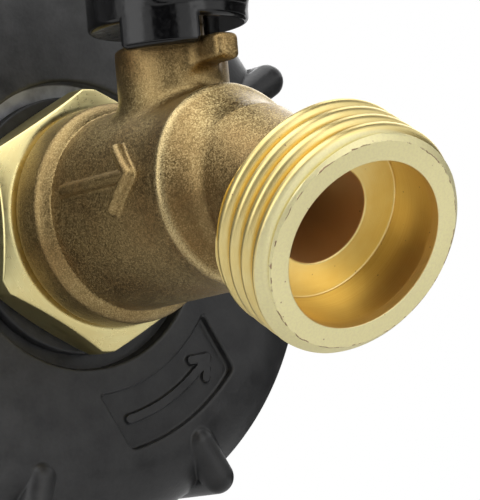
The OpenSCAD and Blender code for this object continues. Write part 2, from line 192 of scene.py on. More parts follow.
def thread_height(turns: Array) -> Array:
    """Shapes a thread with broad round crests.

    Args:
        turns: Turns counted along the thread.

    Returns:
        Its height, from 0 at the root to 1 at the crest.
    """
    roundness = 2.4
    wave = np.abs(2.0 * (turns - np.floor(turns)) - 1.0)
    return 1.0 - wave**roundness


def eased(share: Array) -> Array:
    """Returns shares from 0 to 1 that start and end level."""
    return share * share * (3.0 - 2.0 * share)


def eased_slope(share: Array) -> Array:
    """Returns how steeply eased shares rise."""
    return 6.0 * share * (1.0 - share)


def slope(distance: Distance, points: Array, reach: float) -> Array:
    """Measures the gradient of a distance field.

    Args:
        distance: The field.
        points: Places in millimetres, three to a row.
        reach: How far to each side of a place it is measured.

    Returns:
        The gradient at each place.
    """
    steps = np.eye(3) * reach
    rises = [distance(points + step) - distance(points - step) for step in steps]
    return np.stack(rises, axis=-1) / (2.0 * reach)


def ticks(low: float, high: float, step: float, fine: Triple | None = None) -> Array:
    """Grid lines along one axis.

    Args:
        low: The first line.
        high: The last line.
        step: The distance between lines.
        fine: A stretch with closer lines, as its start, its end and their distance.

    Returns:
        The places of the lines.
    """
    spans = [(low, high, step)]
    if fine:
        spans = [(low, fine[0], step), fine, (fine[1], high, step)]
    runs = [np.linspace(a, b, max(2, round((b - a) / s) + 1)) for a, b, s in spans]
    return np.unique(np.concatenate(runs))


CORNERS = np.array([(i, j, k) for i in (0, 1) for j in (0, 1) for k in (0, 1)])
PAIRS = [(a, b) for a in range(len(CORNERS)) for b in range(a + 1, len(CORNERS))]
EDGES = [(a, b) for a, b in PAIRS if np.abs(CORNERS[a] - CORNERS[b]).sum() == 1]


def surface_net(distance: Distance, lines: Sequence[Array]) -> Shape:
    """Wraps a distance field's zero level in a smooth skin of quads.

    Args:
        distance: The field, below zero inside the solid.
        lines: Grid lines along x, y and z.

    Returns:
        The skin, with its points settled on the zero level.
    """
    settle_steps = 4
    settle_reach = 0.01
    normal_reach = 0.03
    least_rise = 0.1
    field_values = distance(np.stack(np.meshgrid(*lines, indexing="ij"), axis=-1))
    inside = field_values < 0.0
    cells = np.array(inside.shape) - 1
    filled = sum(
        inside[i : i + cells[0], j : j + cells[1], k : k + cells[2]].astype(np.int8) for i, j, k in CORNERS
    )
    active = (filled > 0) & (filled < len(CORNERS))
    where = np.argwhere(active)
    ids = np.full(active.shape, -1)
    ids[active] = np.arange(len(where))
    total = np.zeros((len(where), 3))
    count = np.zeros(len(where))
    for a, b in EDGES:
        at_a = where + CORNERS[a]
        at_b = where + CORNERS[b]
        value_a = field_values[tuple(at_a.T)]
        value_b = field_values[tuple(at_b.T)]
        crossed = (value_a < 0.0) != (value_b < 0.0)
        share = np.where(crossed, value_a / np.where(crossed, value_a - value_b, 1.0), 0.0)[:, None]
        place_a = np.stack([lines[n][at_a[:, n]] for n in range(3)], axis=-1)
        place_b = np.stack([lines[n][at_b[:, n]] for n in range(3)], axis=-1)
        total += np.where(crossed[:, None], place_a + share * (place_b - place_a), 0.0)
        count += crossed
    points = total / count[:, None]
    faces = []
    for axis in range(3):
        side_a, side_b = [n for n in range(3) if n != axis]
        changed = np.diff(inside.astype(np.int8), axis=axis)
        at = np.argwhere(changed != 0)
        room = (at[:, side_a] > 0) & (at[:, side_b] > 0)
        room &= (at[:, side_a] < cells[side_a]) & (at[:, side_b] < cells[side_b])
        at = at[room]
        step_a = np.eye(3, dtype=int)[side_a]
        step_b = np.eye(3, dtype=int)[side_b]
        ring = [at - step_a - step_b, at - step_b, at, at - step_a]
        quads = np.stack([ids[tuple(corner.T)] for corner in ring], axis=-1)
        leaving = changed[tuple(at.T)] < 0
        turned_over = leaving if axis == 1 else ~leaving
        quads[turned_over] = quads[turned_over][:, ::-1]
        faces.append(quads)
    limit = min(float(np.diff(line).min()) for line in lines)
    for _ in range(settle_steps):
        rise = slope(distance, points, settle_reach)
        move = distance(points) / np.maximum((rise * rise).sum(axis=-1), least_rise)
        points -= np.clip(move[:, None] * rise, -limit, limit)
    normals = slope(distance, points, normal_reach)
    normals /= np.maximum(np.linalg.norm(normals, axis=-1, keepdims=True), TINY)
    return Shape(points, np.concatenate(faces), normals)


def soften(corners: Corners) -> Array:
    """Rounds the corners of a closed outline.

    Args:
        corners: Radius, run and how far each corner's rounding reaches.

    Returns:
        The rounded outline, as radius and run.
    """
    most = 0.45
    spots = np.array([corner[:2] for corner in corners], dtype=float)
    reaches = [corner[2] for corner in corners]
    share = np.linspace(0.0, 1.0, ROUND_STEPS + 1)[:, None]
    outline = []
    for i, spot in enumerate(spots):
        before = spots[i - 1] - spot
        after = spots[(i + 1) % len(spots)] - spot
        reach_in = min(reaches[i] / max(np.linalg.norm(before), TINY), most)
        reach_out = min(reaches[i] / max(np.linalg.norm(after), TINY), most)
        start = spot + before * reach_in
        end = spot + after * reach_out
        outline.append(start * (1.0 - share) ** 2 + 2.0 * spot * share * (1.0 - share) + end * share**2)
    return np.concatenate(outline)


def ring_skin(radius: Array, run: Array, closed: bool = True) -> Shape:
    """Joins outlines that stand round an axis, one outline for each angle.

    Args:
        radius: Radii, one row for each angle.
        run: Runs along the axis, one row for each angle.
        closed: Whether each outline is closed.

    Returns:
        The skin round +Z.
    """
    turns, count = radius.shape
    angle = np.arange(turns)[:, None] * FULL_TURN / turns
    points = np.stack([radius * np.cos(angle), radius * np.sin(angle), run], axis=-1).reshape(-1, 3)
    i, j = np.meshgrid(np.arange(turns), np.arange(count if closed else count - 1), indexing="ij")
    i_next = (i + 1) % turns
    j_next = (j + 1) % count
    quads = [i * count + j, i_next * count + j, i_next * count + j_next, i * count + j_next]
    return Shape(points, np.stack(quads, axis=-1).reshape(-1, QUAD))


def lathe(outline: Array, turns: int, closed: bool = True) -> Shape:
    """Turns one outline round +Z.

    Args:
        outline: Its points, as radius and run.
        turns: The number of angles round the axis.
        closed: Whether the outline is closed.

    Returns:
        The skin.
    """
    radius = np.repeat(outline[None, :, 0], turns, axis=0)
    run = np.repeat(outline[None, :, 1], turns, axis=0)
    return ring_skin(radius, run, closed)


@dataclass(frozen=True)
class OuterThread:
    """A round-crested outside thread with a chamfer at each end, the first one steeper."""

    root_r: float
    depth: float
    pitch: float
    start: float
    end: float
    steep: float = 3.0
    samples: int = 16

    def skin(self, turns: int) -> Shape:
        """Meshes the thread along its helix, so that no crest is stepped.

        Args:
            turns: The number of angles round the axis.

        Returns:
            The skin round +Z, open at both ends.
        """
        count = (math.ceil((self.end - self.start) / self.pitch) + 1) * self.samples + 1
        share = np.arange(turns)[:, None] / turns
        step = np.arange(count)[None, :] / self.samples
        run = np.clip(self.start + (step + share - 1.0) * self.pitch, self.start, self.end)
        chamfer = np.minimum(self.steep * (run - self.start), self.end - run)
        height = np.minimum(thread_height(np.broadcast_to(step, run.shape)) * self.depth, chamfer)
        body = ring_skin(self.root_r + height, run, closed=False)
        kept = body.faces.reshape(turns, count - 1, QUAD)[:-1].reshape(-1, QUAD)
        seam_j = np.arange(count - 1 - self.samples)
        row = (turns - 1) * count
        shift = seam_j + self.samples
        seam = np.stack([row + seam_j, shift, shift + 1, row + seam_j + 1], axis=-1)
        return Shape(body.points, np.concatenate([kept, seam]))


@dataclass(frozen=True)
class HexForm:
    """A hexagon with turned-down corners and both faces chamfered to a circle."""

    across_flats: float
    length: float
    face_r: float
    chamfer_angle: float
    edge: float
    tip_cut: float
    turns: int = 360

    def skin(self, before: Corners, after: Corners, start: float) -> Shape:
        """Turns an outline whose middle stretch is the hexagon.

        Args:
            before: Corners of the outline ahead of the hexagon.
            after: Corners of the outline behind it.
            start: The run where the hexagon starts.

        Returns:
            The skin round +Z.
        """
        half_side = math.pi / HEX_SIDES
        least_chamfer = 0.03
        tip_r = self.across_flats / 2.0 / math.cos(half_side) - self.tip_cut
        end = start + self.length
        rows = []
        for i in range(self.turns):
            angle = (i + 0.5) * FULL_TURN / self.turns
            bent = angle % (2.0 * half_side) - half_side
            flat_r = min(self.across_flats / 2.0 / math.cos(bent), tip_r)
            face_r = min(self.face_r, flat_r - least_chamfer)
            depth = (flat_r - face_r) * math.tan(math.radians(self.chamfer_angle))
            corners = [
                (face_r, start, self.edge),
                (flat_r, start + depth, self.edge),
                (flat_r, end - depth, self.edge),
                (face_r, end, self.edge),
            ]
            rows.append(soften([*before, *corners, *after]))
        outlines = np.array(rows)
        return ring_skin(outlines[..., 0], outlines[..., 1])


# Finishes


class Graph:
    """A material's node tree, with short calls that add nodes and join them."""

    def __init__(self, name: str, **constants: object) -> None:
        """Starts a material.

        Args:
            name: The material's name.
            constants: Values of the shader's sockets, named with underscores for spaces.
        """
        self.material = bpy.data.materials.new(name)
        self.material.use_nodes = True
        self.tree = self.material.node_tree
        self.shader = self.tree.nodes["Principled BSDF"]
        self.spot = self.tree.nodes.new("ShaderNodeTexCoord").outputs["Object"]
        for socket, value in constants.items():
            self.feed(socket.replace("_", " "), value)

    def plug(self, value: object, socket: Socket) -> None:
        """Gives an input its value.

        Args:
            value: A socket to link, or a constant.
            socket: The input.
        """
        if isinstance(value, bpy.types.NodeSocket):
            self.tree.links.new(value, socket)
        else:
            socket.default_value = value

    def feed(self, socket: str, value: object) -> None:
        """Gives one of the shader's sockets its value."""
        self.plug(value, self.shader.inputs[socket])

    def add(self, kind: str, inputs: dict, **settings: object) -> bpy.types.Node:
        """Adds a node.

        Args:
            kind: Blender's name of the node type.
            inputs: Constants or sockets for its inputs, by name or index.
            settings: The node's own settings.

        Returns:
            The node.
        """
        node = self.tree.nodes.new(kind)
        for key, value in settings.items():
            setattr(node, key, value)
        for key, value in inputs.items():
            self.plug(value, node.inputs[key])
        return node

    def parts(self) -> bpy.types.NodeOutputs:
        """Returns the object's coordinates apart, as X, Y and Z."""
        return self.add("ShaderNodeSeparateXYZ", {"Vector": self.spot}).outputs

    def stretched(self, scale: Triple) -> Socket:
        """Returns the object's coordinates, scaled along each axis."""
        return self.add("ShaderNodeMapping", {"Vector": self.spot, "Scale": scale}).outputs["Vector"]

    def vector(self, kind: str, *inputs: object) -> bpy.types.NodeOutputs:
        """Adds a vector calculation of the named kind and returns its outputs."""
        return self.add("ShaderNodeVectorMath", dict(enumerate(inputs)), operation=kind).outputs

    def turned_parts(self, axis: Axis = UPRIGHT) -> tuple[Socket, Socket]:
        """Measures the surface against an axis.

        Args:
            axis: The axis.

        Returns:
            The distance from the axis and the run along it, in metres.
        """
        start = tuple(value * MM for value in axis.start)
        away = self.vector("SUBTRACT", self.spot, start)["Vector"]
        side = self.vector("CROSS_PRODUCT", away, axis.direction)["Vector"]
        run = self.vector("DOT_PRODUCT", away, axis.direction)["Value"]
        return self.vector("LENGTH", side)["Value"], run

    def turned_spot(self) -> Socket:
        """Returns coordinates that only change with the radius and the run along +Z, for turning lines."""
        ring, run = self.turned_parts()
        return self.add("ShaderNodeCombineXYZ", {"X": ring, "Y": run}).outputs["Vector"]

    def noise(self, size: float, detail: float, spot: Socket | None = None) -> Socket:
        """Adds cloudy noise.

        Args:
            size: The size of its patches in millimetres.
            detail: How many finer octaves it has.
            spot: The coordinates that it is drawn on.

        Returns:
            Its value, from 0 to 1.
        """
        inputs = {"Vector": spot or self.spot, "Scale": 1.0 / (size * MM), "Detail": detail}
        return self.add("ShaderNodeTexNoise", inputs).outputs["Fac"]

    def scatter(self, size: float) -> bpy.types.NodeOutputs:
        """Scatters points about one size in millimetres apart, each with a cell round it."""
        return self.add("ShaderNodeTexVoronoi", {"Vector": self.spot, "Scale": 1.0 / (size * MM)}).outputs

    def pits(self, size: float, edge: Span) -> Socket:
        """Returns 1 close to scattered points, and 0 beyond the edge of the pits round them."""
        return self.span(self.scatter(size)["Distance"], *edge)

    def ramp(self, value: Socket, stops: Sequence[float], colours: Sequence[Colour]) -> Socket:
        """Colours a value.

        Args:
            value: The value.
            stops: Places on the ramp, rising.
            colours: The colour at each of them.

        Returns:
            The colour.
        """
        node = self.add("ShaderNodeValToRGB", {"Fac": value})
        elements = node.color_ramp.elements
        while len(elements) < len(stops):
            elements.new(stops[-1])
        for element, place, colour in zip(elements, stops, colours):
            element.position = place
            element.color = (*colour, 1.0)
        return node.outputs["Color"]

    def span(self, value: Socket, low: Pair, high: Pair) -> Socket:
        """Maps a value from one range to another, and keeps it in that range.

        Args:
            value: The value.
            low: Where the first range starts, and the result there.
            high: Where it ends, and the result there.

        Returns:
            The result.
        """
        inputs = {"Value": value, "From Min": low[0], "From Max": high[0]}
        inputs |= {"To Min": low[1], "To Max": high[1]}
        return self.add("ShaderNodeMapRange", inputs).outputs["Result"]

    def sum(self, a: Socket, b: Socket, share: float) -> Socket:
        """Returns a value with a share of another one added."""
        inputs = {0: b, 1: share, 2: a}
        return self.add("ShaderNodeMath", inputs, operation="MULTIPLY_ADD").outputs["Value"]

    def times(self, a: Socket, b: Socket) -> Socket:
        """Returns the product of two values."""
        return self.add("ShaderNodeMath", {0: a, 1: b}, operation="MULTIPLY").outputs["Value"]

    def band(self, value: Socket, low: float, high: float, soft: float) -> Socket:
        """Marks the places where a value in metres lies in a band.

        Args:
            value: The value.
            low: Where the band starts, in millimetres.
            high: Where it ends, in millimetres.
            soft: How far it fades out at both ends, in millimetres.

        Returns:
            1 in the band and 0 outside it.
        """
        rise = self.span(value, ((low - soft) * MM, 0.0), (low * MM, 1.0))
        fall = self.span(value, (high * MM, 1.0), ((high + soft) * MM, 0.0))
        return self.times(rise, fall)

    def tint(self, under: Socket, over: Socket | Colour, share: Socket) -> Socket:
        """Lays one colour over another.

        Args:
            under: The colour below.
            over: The colour above, as a socket or a constant.
            share: How much of it shows, from 0 to 1.

        Returns:
            The mixed colour.
        """
        node = self.add("ShaderNodeMix", {"Factor": share}, data_type="RGBA")
        below, above = [socket for socket in node.inputs if socket.type == "RGBA"]
        self.plug(under, below)
        self.plug((*over, 1.0) if isinstance(over, tuple) else over, above)
        return next(socket for socket in node.outputs if socket.type == "RGBA")

    def bump(self, height: Socket, depth: float, under: Socket | None = None) -> Socket:
        """Returns a normal that is roughened by a height.

        Args:
            height: The height, from 0 to 1.
            depth: How deep a height of 1 is, in millimetres.
            under: A normal that it is laid over.

        Returns:
            The normal.
        """
        inputs = {"Height": height, "Distance": depth * MM}
        if under:
            inputs["Normal"] = under
        return self.add("ShaderNodeBump", inputs).outputs["Normal"]

    def brush(self) -> None:
        """Stretches the highlights of turned metal round +Z."""
        tangent = self.add("ShaderNodeTangent", {}, direction_type="RADIAL", axis="Z")
        self.feed("Tangent", tangent.outputs["Tangent"])


@dataclass(frozen=True)
class BlastedBrass:
    """Forged brass, blasted to a matt grain, with brown stains, painted shade in the corner low on the
    cone, and a ridge that is rubbed bright and carries a painted highlight.
    """

    ridge: Axis
    ridge_r: float
    name: str = "blasted_brass"
    pit: Colour = (0.165, 0.112, 0.047)
    plain: Colour = (0.315, 0.23, 0.098)
    glint: Colour = (0.6, 0.475, 0.235)
    brown: Colour = (0.33, 0.18, 0.062)
    # rubbed_highlight: pale brass on the ridge's crest, partly rubbed bare and partly a painted highlight
    rubbed_highlight: Colour = (0.66, 0.53, 0.27)
    # painted shade: the dark colour that fills the corner low on the cone, broken into pits by the grain
    corner_pits_and_shade: Colour = (0.17, 0.095, 0.035)
    grain: float = 0.17
    fine: Pair = (0.17, 2.0)
    coarse: Pair = (0.85, 3.0)
    fine_share: float = 0.5
    coarse_share: float = 0.3
    stops: Triple = (0.36, 0.62, 0.92)
    calm: float = 0.42
    calm_run: Pair = (-2.0, -0.5)
    neck_z: Pair = (10.5, 16.5)
    # the neck turns browner towards its top, under the lever
    neck_brown_share: float = 0.55
    patch: Pair = (7.0, 4.0)
    patch_stain: Span = ((0.46, 0.0), (0.7, 0.45))
    low_z: Triple = (-7.0, 3.0, 5.0)
    low_stain: float = 0.28
    corner_shade_z: Triple = (-9.0, -2.0, 4.0)
    corner_shade_run: Triple = (1.6, 9.0, 1.5)
    corner_shade_break: Span = ((0.35, 0.35), (0.65, 0.75))
    crest_run: Triple = (-0.3, 0.2, 0.5)
    crest_depth: float = 0.7
    crest_soft: float = 0.3
    rubbed_highlight_share: Span = ((0.3, 0.15), (0.6, 0.7))
    wear_gloss: float = -0.12
    rough: Span = ((0.3, 0.34), (0.7, 0.48))
    fine_depth: float = 0.045
    coarse_depth: float = 0.03

    def stains_and_shade(self, graph: Graph, mix: Socket, coarse: Socket, run: Socket) -> Socket:
        """Colours the grain: even on the barrel, browner on the neck and low down, and dark low on the
        cone, where painted shade fills the corner.

        Args:
            graph: The material's graph.
            mix: The grain.
            coarse: The grain's coarse part.
            run: The run along the ridge's axis, in metres.

        Returns:
            The colour.
        """
        first, _, last = self.stops
        ends = (first, last)
        start, end = self.calm_run
        low, high = self.neck_z
        height = graph.parts()["Z"]
        grainy = graph.ramp(mix, self.stops, (self.pit, self.plain, self.glint))
        colour = graph.tint(grainy, self.plain, graph.span(run, (start * MM, self.calm), (end * MM, 0.0)))
        neck = graph.span(height, (low * MM, 0.0), (high * MM, self.neck_brown_share))
        patches = graph.span(graph.noise(*self.patch), *self.patch_stain)
        stains = graph.sum(patches, graph.band(height, *self.low_z), self.low_stain)
        brown = graph.ramp(mix, ends, (self.pit, self.brown))
        grain_colour = graph.tint(colour, brown, graph.sum(stains, neck, 1.0))
        # painted shade in the corner between the cone and the outlet's neck, low down, broken up by the
        # coarse grain
        corner = graph.times(graph.band(run, *self.corner_shade_run), graph.band(height, *self.corner_shade_z))
        pitted_shade = graph.ramp(mix, ends, (self.pit, self.corner_pits_and_shade))
        return graph.tint(grain_colour, pitted_shade, graph.times(corner, graph.span(coarse, *self.corner_shade_break)))

    def material(self) -> Material:
        """Returns the finish as a material."""
        graph = Graph(self.name, Metallic=1.0)
        fleck = graph.scatter(self.grain)["Color"]
        fine = graph.noise(*self.fine)
        coarse = graph.noise(*self.coarse)
        sparkle = graph.sum(graph.times(fleck, fine), fine, self.fine_share)
        ring, run = graph.turned_parts(self.ridge)
        grain_colour = self.stains_and_shade(graph, graph.sum(sparkle, coarse, self.coarse_share), coarse, run)
        edge = graph.band(ring, self.ridge_r - self.crest_depth, self.ridge_r, self.crest_soft)
        crest = graph.times(graph.band(run, *self.crest_run), edge)
        # the crest is painted paler, partly as rubbed brass and partly as a painted highlight
        paler = graph.times(crest, graph.span(fine, *self.rubbed_highlight_share))
        graph.feed("Base Color", graph.tint(grain_colour, self.rubbed_highlight, paler))
        graph.feed("Roughness", graph.sum(graph.span(fleck, *self.rough), paler, self.wear_gloss))
        graph.feed("Normal", graph.bump(fine, self.fine_depth, graph.bump(coarse, self.coarse_depth)))
        return graph.material


@dataclass(frozen=True)
class MachinedBrass:
    """Bright turned brass with fine turning lines and small specks."""

    name: str = "machined_brass"
    plain: Colour = (0.88, 0.79, 0.41)
    warm: Colour = (0.87, 0.74, 0.35)
    speck: Colour = (0.35, 0.24, 0.12)
    stretch: float = 0.3
    line: Pair = (0.12, 3.0)
    cloud: Pair = (4.0, 4.0)
    line_share: float = 0.3
    stops: Pair = (0.25, 0.6)
    pit: float = 2.2
    pit_edge: Span = ((0.025, 1.0), (0.05, 0.0))
    sheen: Pair = (0.6, 4.0)
    rough: Span = ((0.3, 0.26), (0.7, 0.34))
    grit: Pair = (0.5, 3.0)
    grit_depth: float = 0.003
    line_depth: float = 0.008

    def material(self) -> Material:
        """Returns the finish as a material."""
        graph = Graph(self.name, Metallic=1.0, Anisotropic=self.stretch)
        lines = graph.noise(*self.line, graph.turned_spot())
        cloud = graph.noise(*self.cloud)
        drift = graph.sum(graph.times(cloud, cloud), lines, self.line_share)
        colour = graph.ramp(drift, self.stops, (self.warm, self.plain))
        graph.feed("Base Color", graph.tint(colour, self.speck, graph.pits(self.pit, self.pit_edge)))
        graph.feed("Roughness", self.roughness(graph))
        turned = graph.bump(lines, self.line_depth)
        graph.feed("Normal", graph.bump(graph.noise(*self.grit), self.grit_depth, turned))
        graph.brush()
        return graph.material

    def roughness(self, graph: Graph) -> Socket:
        """Returns how dull the turned surface is."""
        return graph.span(graph.noise(*self.sheen), *self.rough)


@dataclass(frozen=True, kw_only=True)
class BarBrass(MachinedBrass):
    """Machined brass whose hexagon keeps the dull flats of the drawn bar."""

    face_r: float
    face_run: float
    chamfer: float
    name: str = "bar_brass"
    plain: Colour = (0.83, 0.74, 0.37)
    warm: Colour = (0.81, 0.68, 0.31)
    dull: float = 0.08
    soft: float = 0.15

    def roughness(self, graph: Graph) -> Socket:
        """Dulls the flats, which lie behind the chamfer's cone.

        Args:
            graph: The material's graph.

        Returns:
            How dull the surface is.
        """
        steep = math.tan(math.radians(self.chamfer))
        ring, run = graph.turned_parts()
        cone = self.face_run + self.face_r * steep
        behind = ((cone - 2.0 * self.soft) * MM, self.dull)
        before = ((cone - self.soft) * MM, 0.0)
        flats = graph.span(graph.sum(run, ring, steep), behind, before)
        return graph.sum(super().roughness(graph), flats, 1.0)


@dataclass(frozen=True)
class OutletBrass:
    """Turned brass with a golden thread whose roots carry painted shade, a pale dull rim, a burr on the
    rim's edge and a warm bore.
    """

    bore_r: float
    port_r: float
    step_run: float
    rim_r: float
    rim_run: float
    name: str = "outlet_brass"
    # painted shade: the darker, deeper gold of the thread's roots
    groove: Colour = (0.7, 0.47, 0.13)
    gold: Colour = (0.85, 0.7, 0.31)
    deep: Colour = (0.82, 0.64, 0.25)
    pale: Colour = (0.9, 0.83, 0.47)
    chalk: Colour = (0.86, 0.78, 0.45)
    warm: Colour = (0.89, 0.69, 0.31)
    rust: Colour = (0.84, 0.62, 0.26)
    port: Colour = (0.92, 0.64, 0.33)
    burr: Colour = (0.42, 0.28, 0.17)
    stretch: float = 0.4
    line: Pair = (0.12, 3.0)
    cloud: Pair = (3.0, 4.0)
    grit: Pair = (0.3, 3.0)
    line_share: float = 0.2
    crest_stops: Pair = (0.4, 0.75)
    stops: Pair = (0.35, 0.6)
    root_in: float = 1.0
    root_out: float = 0.25
    root_soft: float = 0.6
    chamfer: float = 1.35
    chamfer_soft: float = 0.15
    skin: float = 0.02
    bore_soft: float = 0.03
    step_depth: float = 0.3
    port_soft: float = 0.05
    jag: Pair = (1.4, 5.0)
    jag_reach: float = 0.5
    burr_in: float = 0.2
    burr_out: float = 0.27
    burr_soft: float = 0.04
    gap: Pair = (1.1, 3.0)
    gap_edge: Span = ((0.47, 0.0), (0.56, 1.0))
    pit: float = 1.6
    pit_edge: Span = ((0.045, 1.0), (0.075, 0.0))
    pit_share: float = 0.8
    rough: Span = ((0.0, 0.3), (1.0, 0.46))
    port_rough: float = 0.28
    grit_rough: float = 0.1
    grit_depth: float = 0.006
    line_depth: float = 0.012
    burr_depth: float = 0.05

    def marks(self, graph: Graph, ring: Socket, front: Socket) -> Socket:
        """Draws the broken burr along the rim's edge.

        Args:
            graph: The material's graph.
            ring: The distance from the outlet's axis, in metres.
            front: 1 on the rim, and 0 behind it.

        Returns:
            1 on the burr, and 0 elsewhere.
        """
        edge = graph.sum(ring, graph.noise(*self.jag), self.jag_reach * MM)
        jagged = graph.band(edge, self.rim_r + self.burr_in, self.rim_r + self.burr_out, self.burr_soft)
        broken = graph.span(graph.noise(*self.gap), *self.gap_edge)
        return graph.times(graph.times(jagged, broken), front)

    def material(self) -> Material:
        """Returns the finish as a material."""
        graph = Graph(self.name, Metallic=1.0, Anisotropic=self.stretch)
        ring, run = graph.turned_parts()
        lines = graph.noise(*self.line, graph.turned_spot())
        grit = graph.noise(*self.grit)
        drift = graph.sum(graph.noise(*self.cloud), lines, self.line_share)
        crests = graph.ramp(drift, self.crest_stops, (self.deep, self.gold))
        # painted shade: the thread's roots are tinted darker, where shade falls between the crests
        shaded_roots = graph.band(ring, self.bore_r + self.root_in, self.rim_r + self.root_out, self.root_soft)
        thread = graph.tint(crests, self.groove, shaded_roots)
        back = self.rim_run - self.chamfer
        front = graph.span(run, (back * MM, 0.0), ((back + self.chamfer_soft) * MM, 1.0))
        rim = graph.ramp(grit, self.stops, (self.chalk, self.pale))
        bore = graph.ramp(lines, self.stops, (self.rust, self.warm))
        step_end = self.step_run + self.bore_soft
        step = graph.band(run, self.step_run - self.step_depth, step_end, self.bore_soft)
        deep = graph.band(ring, 0.0, self.port_r + self.skin, self.port_soft)
        hollow = graph.tint(graph.tint(bore, thread, step), self.port, deep)
        inside = graph.band(ring, 0.0, self.bore_r + self.skin, self.bore_soft)
        colour = graph.tint(graph.tint(thread, rim, front), hollow, inside)
        marks = self.marks(graph, ring, front)
        dirt = graph.sum(marks, graph.pits(self.pit, self.pit_edge), self.pit_share)
        graph.feed("Base Color", graph.tint(colour, self.burr, dirt))
        dull = graph.sum(graph.span(front, *self.rough), deep, self.port_rough)
        graph.feed("Roughness", graph.sum(dull, grit, self.grit_rough))
        turned = graph.bump(grit, self.grit_depth, graph.bump(lines, self.line_depth))
        graph.feed("Normal", graph.bump(marks, self.burr_depth, turned))
        graph.brush()
        return graph.material


@dataclass(frozen=True)
class MouldedPlastic:
    """Satin black plastic with a mottled skin, painted paler towards the upper left as painted light, and a
    painted sheen with some dust on the recess's upper floor.
    """

    name: str = "moulded_plastic"
    dark: Colour = (0.019, 0.0192, 0.02)
    pale: Colour = (0.036, 0.0363, 0.037)
    # painted sheen: a pale colour that stands for light falling on the recess's upper floor, with some dust
    # in it
    sheen_and_dust: Colour = (0.8, 0.82, 0.86)
    # painted light: paler shades that the cap takes on towards its upper left, where it is lit
    lit_pale: Colour = (0.1, 0.1005, 0.102)
    specular: float = 0.36
    mottle: Pair = (3.0, 6.0)
    skin: Pair = (0.45, 3.0)
    skin_share: float = 0.25
    stops: Pair = (0.4, 0.85)
    lit_span: Pair = (-38.0, 22.0)
    lit_lean: float = -0.5
    sheen_z: Pair = (2.0, 12.0)
    sheen_film: Span = ((0.3, 0.4), (0.6, 1.0))
    sheen_ring: Triple = (0.0, 17.0, 0.2)
    sheen_run: Pair = (22.5, 23.5)
    rough: Span = ((0.3, 0.3), (0.7, 0.46))
    mottle_depth: float = 0.05
    skin_depth: float = 0.025

    def sheen_and_dust_share(self, graph: Graph, height: Socket, mottle: Socket) -> Socket:
        """Paints a pale sheen of light, with some dust, at the front of the recess, above the middle.

        Args:
            graph: The material's graph.
            height: The height in metres.
            mottle: The cloudy noise that breaks up the painted sheen.

        Returns:
            How much of the painted sheen and dust shows, from 0 to 1.
        """
        low, high = self.sheen_z
        start, end = self.sheen_run
        ring, run = graph.turned_parts(OUTWARD)
        above = graph.span(height, (low * MM, 0.0), (high * MM, 1.0))
        front = graph.span(run, (start * MM, 0.0), (end * MM, 1.0))
        thinned = graph.times(above, graph.span(mottle, *self.sheen_film))
        return graph.times(graph.times(graph.band(ring, *self.sheen_ring), front), thinned)

    def material(self) -> Material:
        """Returns the finish as a material."""
        graph = Graph(self.name, Specular_IOR_Level=self.specular)
        mottle = graph.noise(*self.mottle)
        skin = graph.noise(*self.skin)
        parts = graph.parts()
        mix = graph.sum(mottle, skin, self.skin_share)
        own_shades = graph.ramp(mix, self.stops, (self.dark, self.pale))
        # painted light: the cap's shades turn paler towards the upper left, where light falls
        paler = graph.ramp(mix, self.stops, (self.pale, self.lit_pale))
        start, end = self.lit_span
        across = graph.sum(parts["X"], parts["Z"], self.lit_lean)
        plain = graph.tint(own_shades, paler, graph.span(across, (start * MM, 1.0), (end * MM, 0.0)))
        # the painted sheen of light, with some dust, is laid over the recess's upper floor
        graph.feed("Base Color", graph.tint(plain, self.sheen_and_dust, self.sheen_and_dust_share(graph, parts["Z"], mottle)))
        graph.feed("Roughness", graph.span(mottle, *self.rough))
        graph.feed("Normal", graph.bump(mottle, self.mottle_depth, graph.bump(skin, self.skin_depth)))
        return graph.material


@dataclass(frozen=True)
class EvenFinish:
    """A finish whose colour and gloss drift between two shades, over a fine skin."""

    name: str
    shades: tuple[Colour, Colour]
    cloud: Pair
    stops: Pair
    rough: Span
    skin: Pair
    skin_depth: float
    specular: float = 0.5

    def material(self) -> Material:
        """Returns the finish as a material."""
        graph = Graph(self.name, Specular_IOR_Level=self.specular)
        cloud = graph.noise(*self.cloud)
        graph.feed("Base Color", graph.ramp(cloud, self.stops, self.shades))
        graph.feed("Roughness", graph.span(cloud, *self.rough))
        graph.feed("Normal", graph.bump(graph.noise(*self.skin), self.skin_depth))
        return graph.material


@dataclass(frozen=True)
class Plated:
    """Metal with clouded shades and fine scratches."""

    name: str
    shades: tuple[Colour, Colour]
    rough: Span
    cloud: Pair = (1.5, 5.0)
    stops: Pair = (0.35, 0.65)
    scratch: Pair = (0.15, 3.0)
    stretch: Triple = (1.0, 1.0, 0.1)
    scratch_depth: float = 0.004

    def material(self) -> Material:
        """Returns the finish as a material."""
        graph = Graph(self.name, Metallic=1.0)
        scratch = graph.noise(*self.scratch, graph.stretched(self.stretch))
        graph.feed("Base Color", graph.ramp(graph.noise(*self.cloud), self.stops, self.shades))
        graph.feed("Roughness", graph.span(scratch, *self.rough))
        graph.feed("Normal", graph.bump(scratch, self.scratch_depth))
        return graph.material


